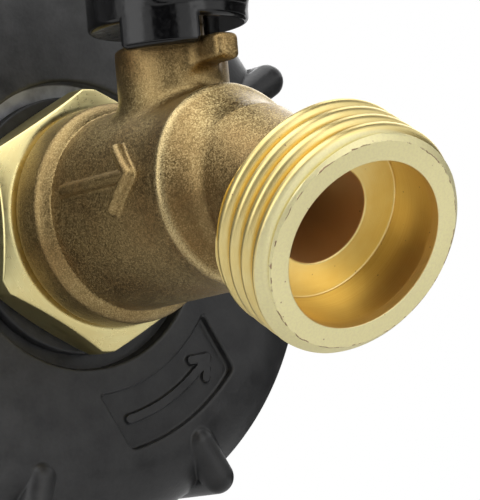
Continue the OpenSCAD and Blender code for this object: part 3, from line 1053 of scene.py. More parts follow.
SEAL_RUBBER = EvenFinish(
    name="seal_rubber",
    shades=((0.012, 0.012, 0.013), (0.035, 0.035, 0.036)),
    cloud=(1.2, 5.0),
    stops=(0.35, 0.75),
    rough=((0.3, 0.5), (0.7, 0.75)),
    skin=(0.3, 2.0),
    skin_depth=0.015,
)
GLOSS_COAT = EvenFinish(
    name="gloss_coat",
    shades=((0.004, 0.004, 0.0045), (0.012, 0.012, 0.013)),
    cloud=(0.5, 6.0),
    stops=(0.5, 0.8),
    rough=((0.35, 0.1), (0.75, 0.26)),
    skin=(1.6, 2.0),
    skin_depth=0.02,
    specular=0.42,
)
SEAL_PLASTIC = EvenFinish(
    name="seal_plastic",
    shades=((0.7, 0.69, 0.65), (0.82, 0.82, 0.79)),
    cloud=(2.0, 4.0),
    stops=(0.35, 0.65),
    rough=((0.3, 0.35), (0.7, 0.5)),
    skin=(0.3, 2.0),
    skin_depth=0.01,
)
# painted shade: dark, dull brass for the stem, which shows in the shaded gap under the hub
SHADED_STEM_BRASS = Plated(
    name="shaded_stem_brass",
    shades=((0.16, 0.1, 0.045), (0.3, 0.2, 0.08)),
    rough=((0.3, 0.3), (0.7, 0.48)),
)
PLATED_BALL = Plated(
    name="plated_ball",
    shades=((0.68, 0.68, 0.7), (0.8, 0.8, 0.82)),
    rough=((0.3, 0.06), (0.7, 0.16)),
)
ZINC_PLATE = Plated(
    name="zinc_plate",
    shades=((0.45, 0.46, 0.5), (0.62, 0.63, 0.66)),
    rough=((0.3, 0.22), (0.7, 0.4)),
)


# Pieces


def add_object(name: str, data: bpy.types.ID) -> bpy.types.Object:
    """Adds an object to the scene.

    Args:
        name: Its name.
        data: Its mesh, light or camera.

    Returns:
        The object.
    """
    made = bpy.data.objects.new(name, data)
    bpy.context.scene.collection.objects.link(made)
    return made


@dataclass(frozen=True)
class Maker:
    """Turns shapes into pieces that ride on the frame's bodies."""

    body: Body
    crease_angle: float = 38.0
    edge_steps: int = 2

    def piece(
        self,
        name: str,
        shapes: Sequence[Shape],
        finish: Material,
        slot: Slot,
        node: str,
        place: Matrix | None = None,
    ) -> bpy.types.Object:
        """Makes a piece from shapes that share their rims.

        Args:
            name: The piece's name.
            shapes: The shapes, in millimetres.
            finish: Its material.
            slot: The record's slot that the material stands for; not used.
            node: The CAD node that the piece stands for.
            place: Where it stands, if its points aren't in the row frame.

        Returns:
            The piece.
        """
        weld_reach = 1e-7
        starts = np.cumsum([0] + [len(shape.points) for shape in shapes[:-1]])
        points = np.concatenate([shape.points for shape in shapes]) * MM
        faces = np.concatenate([shape.faces + start for shape, start in zip(shapes, starts)])
        mesh = bpy.data.meshes.new(name)
        mesh.from_pydata(points.tolist(), [], faces.tolist())
        mesh.shade_smooth()
        known = shapes[0].normals if len(shapes) == 1 else None
        if known is not None:
            mesh.normals_split_custom_set_from_vertices(known.tolist())
        else:
            work = bmesh.new()
            work.from_mesh(mesh)
            bmesh.ops.remove_doubles(work, verts=work.verts, dist=weld_reach)
            bmesh.ops.recalc_face_normals(work, faces=work.faces)
            work.to_mesh(mesh)
            work.free()
            mesh.shade_smooth()
            mesh.set_sharp_from_angle(angle=math.radians(self.crease_angle))
        mesh.materials.append(finish)
        made = add_object(name, mesh)
        if place:
            made.matrix_world = place
        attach(made, self.body.value)
        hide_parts(node)
        count = len(mesh.polygons)
        LOG.info("%s: %d faces, rides on %s, stands for %s", name, count, self.body.value, node)
        return made

    def dress(self, node: str, finish: Material, edge: float = 0.0) -> None:
        """Gives a CAD node its material and rounded edges.

        Args:
            node: The node's name.
            finish: Its material.
            edge: The width of its edges in millimetres, if they are rounded.
        """
        made = frame["nodes"][node]
        made.data.materials.clear()
        made.data.materials.append(finish)
        if edge:
            bevel = made.modifiers.new("edge", "BEVEL")
            bevel.width = edge * MM
            bevel.segments = self.edge_steps
            bevel.limit_method = "ANGLE"
            bevel.angle_limit = math.radians(self.crease_angle)
        LOG.info("%s: CAD node with %s", node, finish.name)


@dataclass(frozen=True)
class Layout:
    """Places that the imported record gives, in millimetres."""

    ball_y: float
    bend: Triple
    outlet: Triple
    outlet_len: float
    hose_r: float
    bore_r: float
    bore_depth: float
    tank_thread_r: float
    tank_thread_len: float

    @classmethod
    def from_record(cls, record: dict) -> "Layout":
        """Reads the stem's and the outlet's axes, and the threads' sizes.

        Args:
            record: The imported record.

        Returns:
            The places.
        """
        mounts = {mount["name"]: mount for mount in record["mounts"]}
        joint = record["behaviour"]["joints"][0]
        bore = mounts["outlet_bore"]
        axis = np.array(bore["axis"])
        middle = np.array(bore["pos_m"]) / MM
        back = middle[2] / axis[2]
        return cls(
            ball_y=joint["pos_m"][1] / MM,
            bend=tuple(middle - back * axis),
            outlet=tuple(axis),
            outlet_len=back + bore["dims"]["length_mm"] / 2.0,
            hose_r=mounts["hose_thread"]["dims"]["r_mm"],
            bore_r=bore["dims"]["r_mm"],
            bore_depth=bore["dims"]["length_mm"],
            tank_thread_r=mounts["tank_thread"]["dims"]["r_mm"],
            tank_thread_len=mounts["tank_thread"]["dims"]["length_mm"],
        )


@dataclass
class TankCap:
    """The moulded cap with its grip lugs, label window and tank thread, and the two flat seals in it."""

    layout: Layout
    depth: float = 27.8
    wall_r: float = 36.6
    face_r: float = 29.3
    front_wall: float = 5.8
    recess_r: float = 17.2
    recess_depth: float = 2.0
    boss_r: float = 18.42
    boss_bore_r: float = 13.27
    boss_end: float = -13.6
    pocket_step: float = 0.4
    lug_count: int = 8
    lug_angle: float = 30.0
    lug_r: float = 2.1
    lug_in_r: float = 30.7
    lug_out_r: float = 35.7
    lug_rise: float = 0.8
    lug_fillet: float = 0.2
    window_angle: float = -60.0
    window_w: float = 18.4
    window_r: Pair = (20.4, 27.6)
    window_depth: float = 1.1
    arrow_turn: float = 17.0
    arrow_head: float = 2.0
    arrow_lean: float = 0.75
    arrow_w: float = 0.55
    arrow_sink: float = 0.45
    thread_pitch: float = 6.0
    thread_depth: float = 2.2
    gasket: Triple = (29.4, 18.62, 3.5)
    washer: Triple = (15.4, 13.42, 1.8)
    seal_round: float = 0.18
    seal_turns: int = 192
    maker: Maker = Maker(Body.TAP)

    def lugs(self, across: Array, up: Array, y: Array) -> Array:
        """Measures the distance to the ring of grip lugs.

        Args:
            across: Places along x.
            up: Places along z.
            y: Places along y.

        Returns:
            The distances, below zero inside.
        """
        pitch = FULL_TURN / self.lug_count
        angle = np.arctan2(up, across) - math.radians(self.lug_angle)
        bent = (angle + pitch / 2.0) % pitch - pitch / 2.0
        ring = np.hypot(across, up)
        out = ring * np.cos(bent)
        side = ring * np.sin(bent)
        axis_y = self.lug_r - self.depth - self.lug_rise
        front = stroke(out, y, (self.lug_in_r, axis_y), (self.lug_out_r, axis_y))
        wall = stroke(out, y, (self.lug_out_r, axis_y), (self.lug_out_r, 0.0))
        return np.hypot(np.minimum(front, wall), side) - self.lug_r

    def window(self, across: Array, up: Array) -> tuple[Array, Array]:
        """Measures distances in the plane of the cap's face.

        Args:
            across: Places along x.
            up: Places along z.

        Returns:
            The distances to the label window and to the tightening arrow in it.
        """
        corner = 0.8
        arrow_r = sum(self.window_r) / 2.0
        half_turn = math.radians(self.arrow_turn)
        turn = math.radians(self.window_angle)
        out = across * math.cos(turn) + up * math.sin(turn)
        side = up * math.cos(turn) - across * math.sin(turn)
        ring = np.hypot(out, side)
        band = np.maximum(self.window_r[0] - ring, ring - self.window_r[1])
        hole = rounded_cut(band, np.maximum(np.abs(side) - self.window_w / 2.0, -out), corner)
        bent = np.clip(np.arctan2(side, out), -half_turn, half_turn)
        lines = [np.hypot(out - arrow_r * np.cos(bent), side - arrow_r * np.sin(bent))]
        tip = (arrow_r * math.cos(half_turn), arrow_r * math.sin(half_turn))
        back = half_turn - self.arrow_head / arrow_r
        for reach in (self.arrow_head, -self.arrow_head):
            end_r = arrow_r + reach * self.arrow_lean
            lines.append(stroke(out, side, tip, (end_r * math.cos(back), end_r * math.sin(back))))
        return hole, np.minimum.reduce(lines) - self.arrow_w

    def moulding(self, points: Array) -> Array:
        """Measures the distance to the cap's moulding.

        Args:
            points: Places in millimetres, three to a row.

        Returns:
            The distances, below zero inside.
        """
        run_in_turns = 0.5
        edge = 0.5
        fine_edge = 0.35
        x, y, z = points[..., 0], points[..., 1], points[..., 2]
        ring = np.hypot(x, z)
        shoulder = self.wall_r - self.face_r
        past_r = ring - self.face_r
        past_y = shoulder - self.depth - y
        corner = np.hypot(np.maximum(past_r, 0.0), np.maximum(past_y, 0.0))
        shell = np.minimum(np.maximum(past_r, past_y), 0.0) + corner - shoulder
        shell = fillet_union(shell, self.lugs(x, z, y), self.lug_fillet)
        shell = rounded_cut(shell, y, edge)
        turns = y / self.thread_pitch + np.arctan2(z, x) / FULL_TURN
        from_end = np.minimum(-y, y + self.layout.tank_thread_len)
        run_in = np.clip(from_end / (self.thread_pitch * run_in_turns), 0.0, 1.0)
        crest = self.thread_depth * thread_height(turns) * run_in
        bore = np.maximum(ring - self.layout.tank_thread_r + crest, -self.layout.tank_thread_len - y)
        pocket_r = self.layout.tank_thread_r - self.pocket_step
        pocket = np.maximum(ring - pocket_r, self.front_wall - self.depth - y)
        room = rounded_cut(np.minimum(bore, pocket), self.boss_r - ring, edge)
        room = np.minimum(room, np.maximum(ring - pocket_r, self.boss_end - y))
        solid = rounded_cut(shell, -room, edge)
        recess = np.maximum(ring - self.recess_r, y + self.depth - self.recess_depth)
        solid = rounded_cut(solid, -recess, edge)
        solid = np.maximum(solid, self.boss_bore_r - ring)
        hole, arrow = self.window(x, z)
        floor = rounded_cut(hole, y + self.depth - self.window_depth, fine_edge)
        arrow_top = self.window_depth * self.arrow_sink - self.depth
        sunk = rounded_cut(floor, -np.maximum(arrow, arrow_top - y), fine_edge)
        return rounded_cut(solid, -sunk, fine_edge)

    def build(self, rubber: Material) -> None:
        """Makes the cap, its tank gasket and the tailpiece's washer.

        Args:
            rubber: The seals' finish.
        """
        window_room = 3.0
        coarse = 0.5
        fine = 0.2
        reach = self.lug_out_r + self.lug_r + coarse
        half = self.window_w / 2.0 + window_room
        mid_r = sum(self.window_r) / 2.0
        turn = math.radians(self.window_angle)
        mid_x = mid_r * math.cos(turn)
        mid_z = mid_r * math.sin(turn)
        face = -self.depth - self.lug_rise
        lines = [
            ticks(-reach, reach, coarse, (-mid_x, mid_x + half, fine)),
            ticks(face - coarse, coarse, coarse, (face - fine, face + 2.0 * self.lug_r, fine)),
            ticks(-reach, reach, coarse, (fine - reach, mid_z + half, fine)),
        ]
        cap = surface_net(self.moulding, lines)
        plastic = MouldedPlastic().material()
        self.maker.piece("tank_cap_moulding", [cap], plastic, Slot.PLASTIC, "tank_cap")
        gasket_run = self.depth - self.front_wall
        washer_run = self.depth - self.recess_depth
        seals = [
            ("tank_gasket_ring", "tank_gasket", self.gasket, gasket_run - self.gasket[2]),
            ("tailpiece_washer_ring", "tailpiece_washer", self.washer, washer_run),
        ]
        for name, node, (outer, inner, thick), run in seals:
            edge = thick * self.seal_round
            corners = [
                (inner, run, edge),
                (outer, run, edge),
                (outer, run + thick, edge),
                (inner, run + thick, edge),
            ]
            ring = lathe(soften(corners), self.seal_turns)
            self.maker.piece(name, [ring], rubber, Slot.RUBBER, node, OUTWARD.place())


@dataclass
class Tailpiece:
    """The turned brass piece whose hex shows between the cap and the body."""

    hex_form: HexForm = HexForm(
        across_flats=28.0, length=5.9, face_r=13.2, chamfer_angle=30.0, edge=0.3, tip_cut=0.5
    )
    hex_front: float = 33.5
    bore_r: float = 6.5
    thread_r: float = 13.22
    thread_end: float = 13.4
    spigot_r: float = 10.15
    spigot_end: float = 40.55
    seal_groove: Pair = (1.44, 1.24)
    edge: float = 0.4
    fine_edge: float = 0.1
    maker: Maker = Maker(Body.TAP)

    def build(self, rubber: Material) -> None:
        """Makes the tailpiece and dresses its round seal.

        Args:
            rubber: The seal's finish.
        """
        form = self.hex_form
        hex_back = self.hex_front - form.length
        groove_run, groove_depth = self.seal_groove
        groove_end = self.hex_front + groove_run
        groove_r = self.spigot_r - groove_depth
        before = [
            (self.bore_r, self.spigot_end, self.edge),
            (self.bore_r, self.thread_end, self.edge),
            (self.thread_r, self.thread_end, self.edge),
            (self.thread_r, hex_back, self.fine_edge),
        ]
        after = [
            (groove_r, self.hex_front, self.fine_edge),
            (groove_r, groove_end, self.fine_edge),
            (self.spigot_r, groove_end, self.fine_edge),
            (self.spigot_r, self.spigot_end, self.edge),
        ]
        skin = form.skin(before, after, hex_back)
        finish = BarBrass(face_r=form.face_r, face_run=self.hex_front, chamfer=form.chamfer_angle)
        brass = finish.material()
        self.maker.piece("tailpiece_hex", [skin], brass, Slot.MACHINED, "tailpiece", OUTWARD.place())
        self.maker.dress("body_o_ring", rubber)


@dataclass
class ValveBody:
    """The forged body with its bead, elbow, neck, stop lug and flow arrow, and the machined outlet."""

    layout: Layout
    inlet_run: float = -15.9
    bead_r: float = 12.96
    bead_round: float = 1.2
    bead_end: float = -11.5
    barrel_start: float = -9.8
    barrel_r: float = 11.6
    barrel_end_r: float = 11.25
    ridge_run: float = 10.9
    ridge_side: float = -0.25
    ridge_lift: float = 0.2
    ridge_tilt: float = 1.0
    ridge_turn: float = 3.0
    ridge_r: float = 11.4
    ridge_lead: Pair = (6.0, 1.5)
    ridge_round: float = 0.6
    elbow_slope: float = 47.0
    cone_end_r: float = 6.2
    elbow_r: float = 8.2
    elbow_drop: float = 0.8
    elbow_runs: Pair = (-4.0, 2.5)
    root_r: float = 6.8
    root_run: float = -10.0
    flare_r: float = 10.6
    thread_back: float = 8.46
    thread_depth: float = 1.3
    thread_pitch: float = 2.209
    port_r: float = 5.63
    shank_r: float = 6.6
    chamber: Pair = (9.4, 8.8)
    spigot_bore_r: float = 10.2
    stem_bores: tuple[Triple, ...] = ((5.2, 0.0, 11.3), (4.05, 11.0, 18.0), (5.2, 13.6, 18.0))
    neck_r: float = 6.43
    neck_top: float = 17.5
    stop_w: float = 3.2
    stop_reach: float = 11.4
    stop_span: Pair = (14.4, 17.4)
    arrow_angle: float = 10.0
    arrow_span: Pair = (-7.0, 6.0)
    arrow_head: float = 3.4
    arrow_w: float = 0.8
    arrow_rise: float = 0.85
    arrow_z: Pair = (-3.5, 7.5)
    maker: Maker = Maker(Body.TAP)

    def barrel_profile(self) -> tuple[Array, Array]:
        """Returns stations along the barrel and its radius at each of them."""
        round_steps = 9
        fall_steps = 17
        turn = np.linspace(0.0, math.pi / 2.0, round_steps)
        round_runs = self.inlet_run + self.bead_round * (1.0 - np.cos(turn))
        round_radii = self.bead_r - self.bead_round * (1.0 - np.sin(turn))
        share = np.linspace(0.0, 1.0, fall_steps)
        fall_runs = self.bead_end + share * (self.barrel_start - self.bead_end)
        fall_radii = self.bead_r + share * share * (self.barrel_r - self.bead_r)
        end_run = self.layout.ball_y - self.layout.bend[1]
        runs = np.concatenate([round_runs, fall_runs, [end_run]])
        radii = np.concatenate([round_radii, fall_radii, [self.barrel_end_r]])
        return runs, radii

    def ridge_profile(self) -> tuple[Array, Array]:
        """Returns stations along the elbow's ridge and the cone in front of it, and their radii."""
        steps = 65
        lead, fall = self.ridge_lead
        taper = math.tan(math.radians(self.elbow_slope))
        end = (self.ridge_r - self.cone_end_r) / taper
        runs = np.linspace(-lead, end, steps)
        rise = self.ridge_r + np.minimum(runs, 0.0) * fall / lead
        return runs, fillet_union(rise, self.ridge_r - runs * taper, self.ridge_round)

    def ridge_axis(self) -> Axis:
        """Returns the axis of the elbow's ridge, whose top and far side lean back against the flow."""
        tilt = math.radians(self.ridge_tilt)
        turn = math.radians(self.ridge_turn)
        middle = (self.ridge_side, self.layout.ball_y - self.ridge_run, self.ridge_lift)
        level = math.cos(tilt)
        return Axis(middle, (math.sin(turn) * level, -math.cos(turn) * level, math.sin(tilt)))

    def outlet_profile(self) -> tuple[Array, Array]:
        """Returns stations along the outlet's neck, from inside the cone to the thread, and its radii."""
        steps = 33
        start, flare = self.elbow_runs
        share = np.linspace(0.0, 1.0, steps)
        flare_runs = flare + share * (self.thread_back - flare)
        flare_radii = self.elbow_r + (self.flare_r - self.elbow_r) * share * share
        runs = np.concatenate([[self.root_run, start], flare_runs])
        return runs, np.concatenate([[self.root_r, self.elbow_r], flare_radii])

    def elbow_axis(self) -> Axis:
        """Returns the axis of the outlet's neck, which lies a little below that of the thread."""
        out = self.layout.outlet
        low = (0.0, -out[2] * self.elbow_drop, out[1] * self.elbow_drop)
        return Axis(tuple(np.add(self.layout.bend, low)), out)

    def flow_arrow(self, x: Array, z: Array, run: Array, ring: Array) -> Array:
        """Measures the distance to the raised arrow that shows the way of the flow.

        Args:
            x: Places along x.
            z: Places along z.
            run: Places along the flow, from the stem's axis.
            ring: Distances from the barrel's axis.

        Returns:
            The distances, below zero inside.
        """
        edge = 1.1
        turn = np.arctan2(z, -x) - math.radians(self.arrow_angle)
        side = turn * self.barrel_r
        start, tip = self.arrow_span
        lines = [stroke(run, side, (start, 0.0), (tip, 0.0))]
        for way in (1.0, -1.0):
            lines.append(stroke(run, side, (tip, 0.0), (tip - self.arrow_head, way * self.arrow_head)))
        flat = np.minimum.reduce(lines) - self.arrow_w
        return rounded_cut(flat, ring - self.barrel_r - self.arrow_rise, edge)

    def hollows(self, points: Array) -> Array:
        """Measures the distance to the body's waterway, chamber and stem bores.

        Args:
            points: Places in millimetres, three to a row.

        Returns:
            The distances, below zero inside.
        """
        overlap = 1.0
        x, z = points[..., 0], points[..., 2]
        run = self.layout.ball_y - points[..., 1]
        ring = np.hypot(x, z)
        chamber_r, chamber_run = self.chamber
        out_ring, out_run = Axis(self.layout.bend, self.layout.outlet).split(points)
        stem_ring = np.hypot(x, run)
        bend_run = self.layout.ball_y - self.layout.bend[1]
        spaces = [
            np.maximum(ring - self.spigot_bore_r, run + chamber_run),
            np.maximum(ring - chamber_r, np.maximum(run - chamber_run, -run - chamber_run - overlap)),
            np.maximum(ring - self.port_r, np.maximum(-run, run - bend_run)),
            np.linalg.norm(points - np.array(self.layout.bend), axis=-1) - self.port_r,
            np.maximum(out_ring - self.shank_r, -out_run),
        ]
        for radius, low, high in self.stem_bores:
            spaces.append(np.maximum(stem_ring - radius, np.maximum(low - z, z - high)))
        return np.minimum.reduce(spaces)

    def forging(self, points: Array) -> Array:
        """Measures the distance to the forged body.

        Args:
            points: Places in millimetres, three to a row.

        Returns:
            The distances, below zero inside.
        """
        elbow_fillet = 1.6
        ridge_edge = 1.0
        neck_fillet = 1.6
        lug_fillet = 1.6
        lug_corner = 1.2
        lug_edge = 0.7
        top_edge = 0.6
        arrow_fillet = 0.4
        x, z = points[..., 0], points[..., 2]
        run = self.layout.ball_y - points[..., 1]
        ring = np.hypot(x, z)
        skin = turned_bar(ring, run, *self.barrel_profile())
        skin = fillet_union(skin, self.flow_arrow(x, z, run, ring), arrow_fillet)
        ridge_ring, ridge_run = self.ridge_axis().split(points)
        skin = rounded_cut(skin, ridge_run, ridge_edge)
        ridge = turned_bar(ridge_ring, ridge_run, *self.ridge_profile())
        skin = fillet_union(skin, ridge, ridge_edge)
        outlet = turned_bar(*self.elbow_axis().split(points), *self.outlet_profile())
        skin = fillet_union(skin, outlet, elbow_fillet)
        stem_ring = np.hypot(x, run)
        neck = rounded_cut(np.maximum(stem_ring - self.neck_r, -z), z - self.neck_top, top_edge)
        skin = fillet_union(skin, neck, neck_fillet)
        lug_run = np.maximum(run - self.stop_reach, -run)
        plan = rounded_cut(np.abs(x) - self.stop_w / 2.0, lug_run, lug_corner)
        low, high = self.stop_span
        lug = rounded_cut(plan, np.abs(z - (low + high) / 2.0) - (high - low) / 2.0, lug_edge)
        skin = fillet_union(skin, lug, lug_fillet)
        return np.maximum(skin, -self.hollows(points))

    def build_forging(self, brass: Material) -> None:
        """Makes the forged body, with closer grid lines where the arrow stands.

        Args:
            brass: Its finish.
        """
        arrow_room = 2.0
        step = 0.3
        fine = 0.16
        room = 2.0 * step
        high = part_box("valve_body")[1]
        start, tip = self.arrow_span
        arrow_low = self.layout.ball_y - tip - arrow_room
        arrow_high = self.layout.ball_y - start + arrow_room
        out_y = self.layout.bend[1] + self.layout.outlet[1] * self.thread_back
        reach_y = self.flare_r * abs(self.layout.outlet[2])
        out_z = self.layout.bend[2] + self.layout.outlet[2] * self.thread_back
        reach_z = self.flare_r * abs(self.layout.outlet[1])
        low_z = min(out_z - reach_z, -self.bead_r)
        lines = [
            ticks(-self.bead_r - room, self.bead_r + room, step),
            ticks(out_y - reach_y - room, high[1] / MM + room, step, (arrow_low, arrow_high, fine)),
            ticks(low_z - room, high[2] / MM + room, step, (*self.arrow_z, fine)),
        ]
        shape = surface_net(self.forging, lines)
        self.maker.piece("body_forging", [shape], brass, Slot.BLASTED, "valve_body")

    def build_outlet(self, brass: Material) -> None:
        """Makes the machined outlet: the hose thread, the rim, the bore with its step and the port.

        Args:
            brass: Its finish.
        """
        turns = 288
        hidden_edge = 0.1
        step_edge = 0.25
        rim_edge = 0.18
        root_r = self.layout.hose_r - self.thread_depth
        rim = self.layout.outlet_len
        floor = rim - self.layout.bore_depth
        thread = OuterThread(root_r, self.thread_depth, self.thread_pitch, self.thread_back, rim)
        inside = [
            (self.shank_r, self.thread_back, hidden_edge),
            (self.shank_r, 0.0, hidden_edge),
            (self.port_r, 0.0, hidden_edge),
            (self.port_r, floor, step_edge),
            (self.layout.bore_r, floor, step_edge),
            (self.layout.bore_r, rim, rim_edge),
        ]
        outline = soften([(root_r, rim, 0.0), (root_r, self.thread_back, 0.0), *inside])
        thread_end = 2 * (ROUND_STEPS + 1) - 1
        open_outline = np.concatenate([outline[thread_end:], outline[:1]])
        shapes = [thread.skin(turns), lathe(open_outline, turns, closed=False)]
        place = Axis(self.layout.bend, self.layout.outlet).place()
        self.maker.piece("outlet_end", shapes, brass, Slot.MACHINED, "valve_body", place)

    def build(self) -> None:
        """Makes the forged body and its machined outlet."""
        self.build_forging(BlastedBrass(self.ridge_axis(), self.ridge_r).material())
        rim = self.layout.outlet_len
        step = rim - self.layout.bore_depth
        rim_r = self.layout.hose_r - self.thread_depth
        self.build_outlet(OutletBrass(self.layout.bore_r, self.port_r, step, rim_r, rim).material())


@dataclass
class Mechanism:
    """The ball, its seats, and the stem with its seals."""

    layout: Layout
    shaft_r: float = 4.0
    tang: Triple = (9.0, 3.0, 6.5)
    collar: Triple = (5.0, 9.5, 10.45)
    shaft_top: float = 19.7
    drive_af: float = 6.2
    drive_top: float = 24.1
    thread_r: float = 3.0
    thread_pitch: float = 1.0
    thread_depth: float = 0.55
    top: float = 31.3
    groove: Triple = (2.6, 12.45, 0.8)
    screw_edge: float = 0.12
    fixed: Maker = Maker(Body.TAP)
    moving: Maker = Maker(Body.LEVER)

    def turned_stem(self, points: Array) -> Array:
        """Measures the distance to the stem.

        Args:
            points: Places in millimetres, three to a row.

        Returns:
            The distances, below zero inside.
        """
        edge = 0.25
        x, z = points[..., 0], points[..., 2]
        back = points[..., 1] - self.layout.ball_y
        ring = np.hypot(x, back)
        wide, thick, low = self.tang
        collar_r, collar_low, collar_high = self.collar
        tang = np.maximum(np.abs(x) - wide / 2.0, np.abs(back) - thick / 2.0)
        tang = rounded_cut(tang, np.maximum(low - z, z - collar_high), edge)
        collar = rounded_cut(ring - collar_r, np.maximum(collar_low - z, z - collar_high), edge)
        shaft = np.maximum(ring - self.shaft_r, np.maximum(collar_low - z, z - self.shaft_top))
        drive = np.maximum(ring - self.shaft_r, np.abs(back) - self.drive_af / 2.0)
        drive = rounded_cut(drive, np.maximum(collar_low - z, z - self.drive_top), edge)
        turns = z / self.thread_pitch - np.arctan2(back, x) / FULL_TURN
        root_r = self.thread_r - self.thread_depth
        screw = ring - root_r - self.thread_depth * thread_height(turns)
        screw = np.maximum(screw, np.maximum(self.shaft_top - z, z - self.top))
        screw = np.maximum(screw, ring + z - self.top - root_r)
        solid = np.minimum.reduce([tang, collar, shaft, drive, screw])
        groove_r, groove_z, groove_half = self.groove
        return np.maximum(solid, -np.maximum(groove_r - ring, np.abs(z - groove_z) - groove_half))

    def build(self, rubber: Material) -> None:
        """Makes the stem and dresses the nodes inside the body.

        Args:
            rubber: The round seal's finish.
        """
        step = 0.16
        reach = max(self.collar[0], self.tang[0] / 2.0) + step
        lines = [
            ticks(-reach, reach, step),
            ticks(self.layout.ball_y - reach, self.layout.ball_y + reach, step),
            ticks(self.tang[2] - step, self.top + step, step),
        ]
        shape = surface_net(self.turned_stem, lines)
        # the stem wears dark brass as painted shade for the gap under the hub
        self.moving.piece("stem_turned", [shape], SHADED_STEM_BRASS.material(), Slot.MACHINED, "stem")
        seal = SEAL_PLASTIC.material()
        for node in ("inlet_seat", "outlet_seat", "thrust_washer", "gland_packing"):
            self.fixed.dress(node, seal)
        self.fixed.dress("gland_screw", MachinedBrass().material(), self.screw_edge)
        self.moving.dress("ball", PLATED_BALL.material())
        self.moving.dress("stem_o_ring", rubber)


@dataclass
class Lever:
    """The coated lever with its hub and stop skirts, and the nut and washer that hold it."""

    layout: Layout
    hub_z: float = 19.7
    hub_h: float = 4.6
    hub_r: float = 9.25
    hub_round: float = 0.7
    skirt_in_r: float = 7.2
    skirt_low: float = 16.5
    skirt_start: float = 196.0
    stop_x: float = 1.85
    arm_start: float = 6.1
    arm_len: float = 62.0
    arm_w: float = 14.0
    arm_waist: float = 10.0
    arm_t: float = 4.2
    arm_foot: float = 24.2
    arm_rise: float = 9.0
    arm_climb: float = 24.0
    drive_r: float = 4.05
    drive_af: float = 6.3
    pocket_r: float = 6.0
    nut: HexForm = HexForm(
        across_flats=10.0, length=5.0, face_r=5.0, chamfer_angle=30.0, edge=0.2, tip_cut=0.1, turns=180
    )
    nut_z: float = 25.7
    nut_bore_r: float = 3.05
    nut_bore_edge: float = 0.3
    washer_edge: float = 0.15
    maker: Maker = Maker(Body.LEVER)

    def skirt(self, x: Array, y: Array, z: Array) -> Array:
        """Measures the distance to the stop skirt that ends beside the stop lug's -X side.

        Args:
            x: Places along x.
            y: Places along y, from the stem's axis.
            z: Places along z.

        Returns:
            The distances, below zero inside.
        """
        edge = 0.8
        ring = np.hypot(x, y)
        mid_r = (self.hub_r + self.skirt_in_r) / 2.0
        wall = np.abs(ring - mid_r) - (self.hub_r - self.skirt_in_r) / 2.0
        turn = math.radians(self.skirt_start)
        before = x * math.sin(turn) - y * math.cos(turn)
        ends = np.maximum.reduce([before, x + self.stop_x, y])
        plan = rounded_cut(wall, ends, edge)
        hung = rounded_cut(plan, self.skirt_low - z, edge)
        return np.maximum(hung, z - self.hub_z - self.hub_h + self.hub_round)

    def arm(self, x: Array, out: Array, z: Array) -> Array:
        """Measures the distance to the arm, which climbs from the hub and ends in a round tip.

        Args:
            x: Places along x.
            out: Places along the arm, from the stem's axis.
            z: Places along z.

        Returns:
            The distances, below zero inside.
        """
        edge = 2.2
        waist_share = 0.75
        share = np.clip((out - self.arm_start) / self.arm_climb, 0.0, 1.0)
        middle = self.arm_foot + self.arm_rise * eased(share)
        steep = eased_slope(share) * self.arm_rise / self.arm_climb
        side = (np.abs(z - middle) - self.arm_t / 2.0) / np.sqrt(1.0 + steep * steep)
        waist_run = self.arm_climb * waist_share
        pinch = np.clip(1.0 - np.abs(out - self.arm_start - waist_run) / waist_run, 0.0, 1.0)
        half = self.arm_w / 2.0 - (self.arm_w - self.arm_waist) / 2.0 * eased(pinch)
        tip = self.arm_len - self.arm_w / 2.0
        beyond = np.maximum(out - tip, 0.0)
        plan = np.maximum(np.hypot(x, beyond) - half, -out)
        return rounded_cut(side, plan, edge)

    def forging(self, points: Array) -> Array:
        """Measures the distance to the coated lever.

        Args:
            points: Places in millimetres, three to a row.

        Returns:
            The distances, below zero inside.
        """
        join = 1.6
        hole_edge = 0.4
        x, z = points[..., 0], points[..., 2]
        y = points[..., 1] - self.layout.ball_y
        ring = np.hypot(x, y)
        top = self.hub_z + self.hub_h
        hub = rounded_cut(ring - self.hub_r, np.maximum(self.hub_z - z, z - top), self.hub_round)
        solid = fillet_union(hub, self.arm(x, -y, z), join)
        solid = np.minimum.reduce([solid, self.skirt(x, y, z), self.skirt(-y, -x, z)])
        drive = np.maximum(ring - self.drive_r, np.abs(y) - self.drive_af / 2.0)
        pocket = np.maximum(ring - self.pocket_r, top - z)
        return rounded_cut(solid, -np.minimum(drive, pocket), hole_edge)

    def build(self) -> None:
        """Makes the lever and its nut, and dresses the lock washer."""
        step = 0.3
        low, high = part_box("lever_handle")
        lines = [ticks(low[n] / MM - step, high[n] / MM + step, step) for n in range(3)]
        shape = surface_net(self.forging, lines)
        self.maker.piece("lever_coated", [shape], GLOSS_COAT.material(), Slot.COAT, "lever_handle")
        before = [(self.nut_bore_r, run, self.nut_bore_edge) for run in (self.nut.length, 0.0)]
        zinc = ZINC_PLATE.material()
        stem = Axis((0.0, self.layout.ball_y, self.nut_z), (0.0, 0.0, 1.0))
        nut = self.nut.skin(before, [], 0.0)
        self.maker.piece("handle_nut_hex", [nut], zinc, Slot.ZINC, "handle_nut", stem.place())
        self.maker.dress("lock_washer", zinc, self.washer_edge)


# Studio


@dataclass(frozen=True)
class Panel:
    """A flat sheet that faces the aim, placed along the camera's right, up and backward, in millimetres."""

    name: str
    spot: Triple
    size: Pair


@dataclass(frozen=True)
class SoftBox(Panel):
    """A soft light, with its power in watts and the angle of its beam in degrees."""

    watts: float
    spread: float = 180.0


@dataclass(frozen=True)
class Card(Panel):
    """A grey card, which shades the room and shows in reflections."""

    grey: float


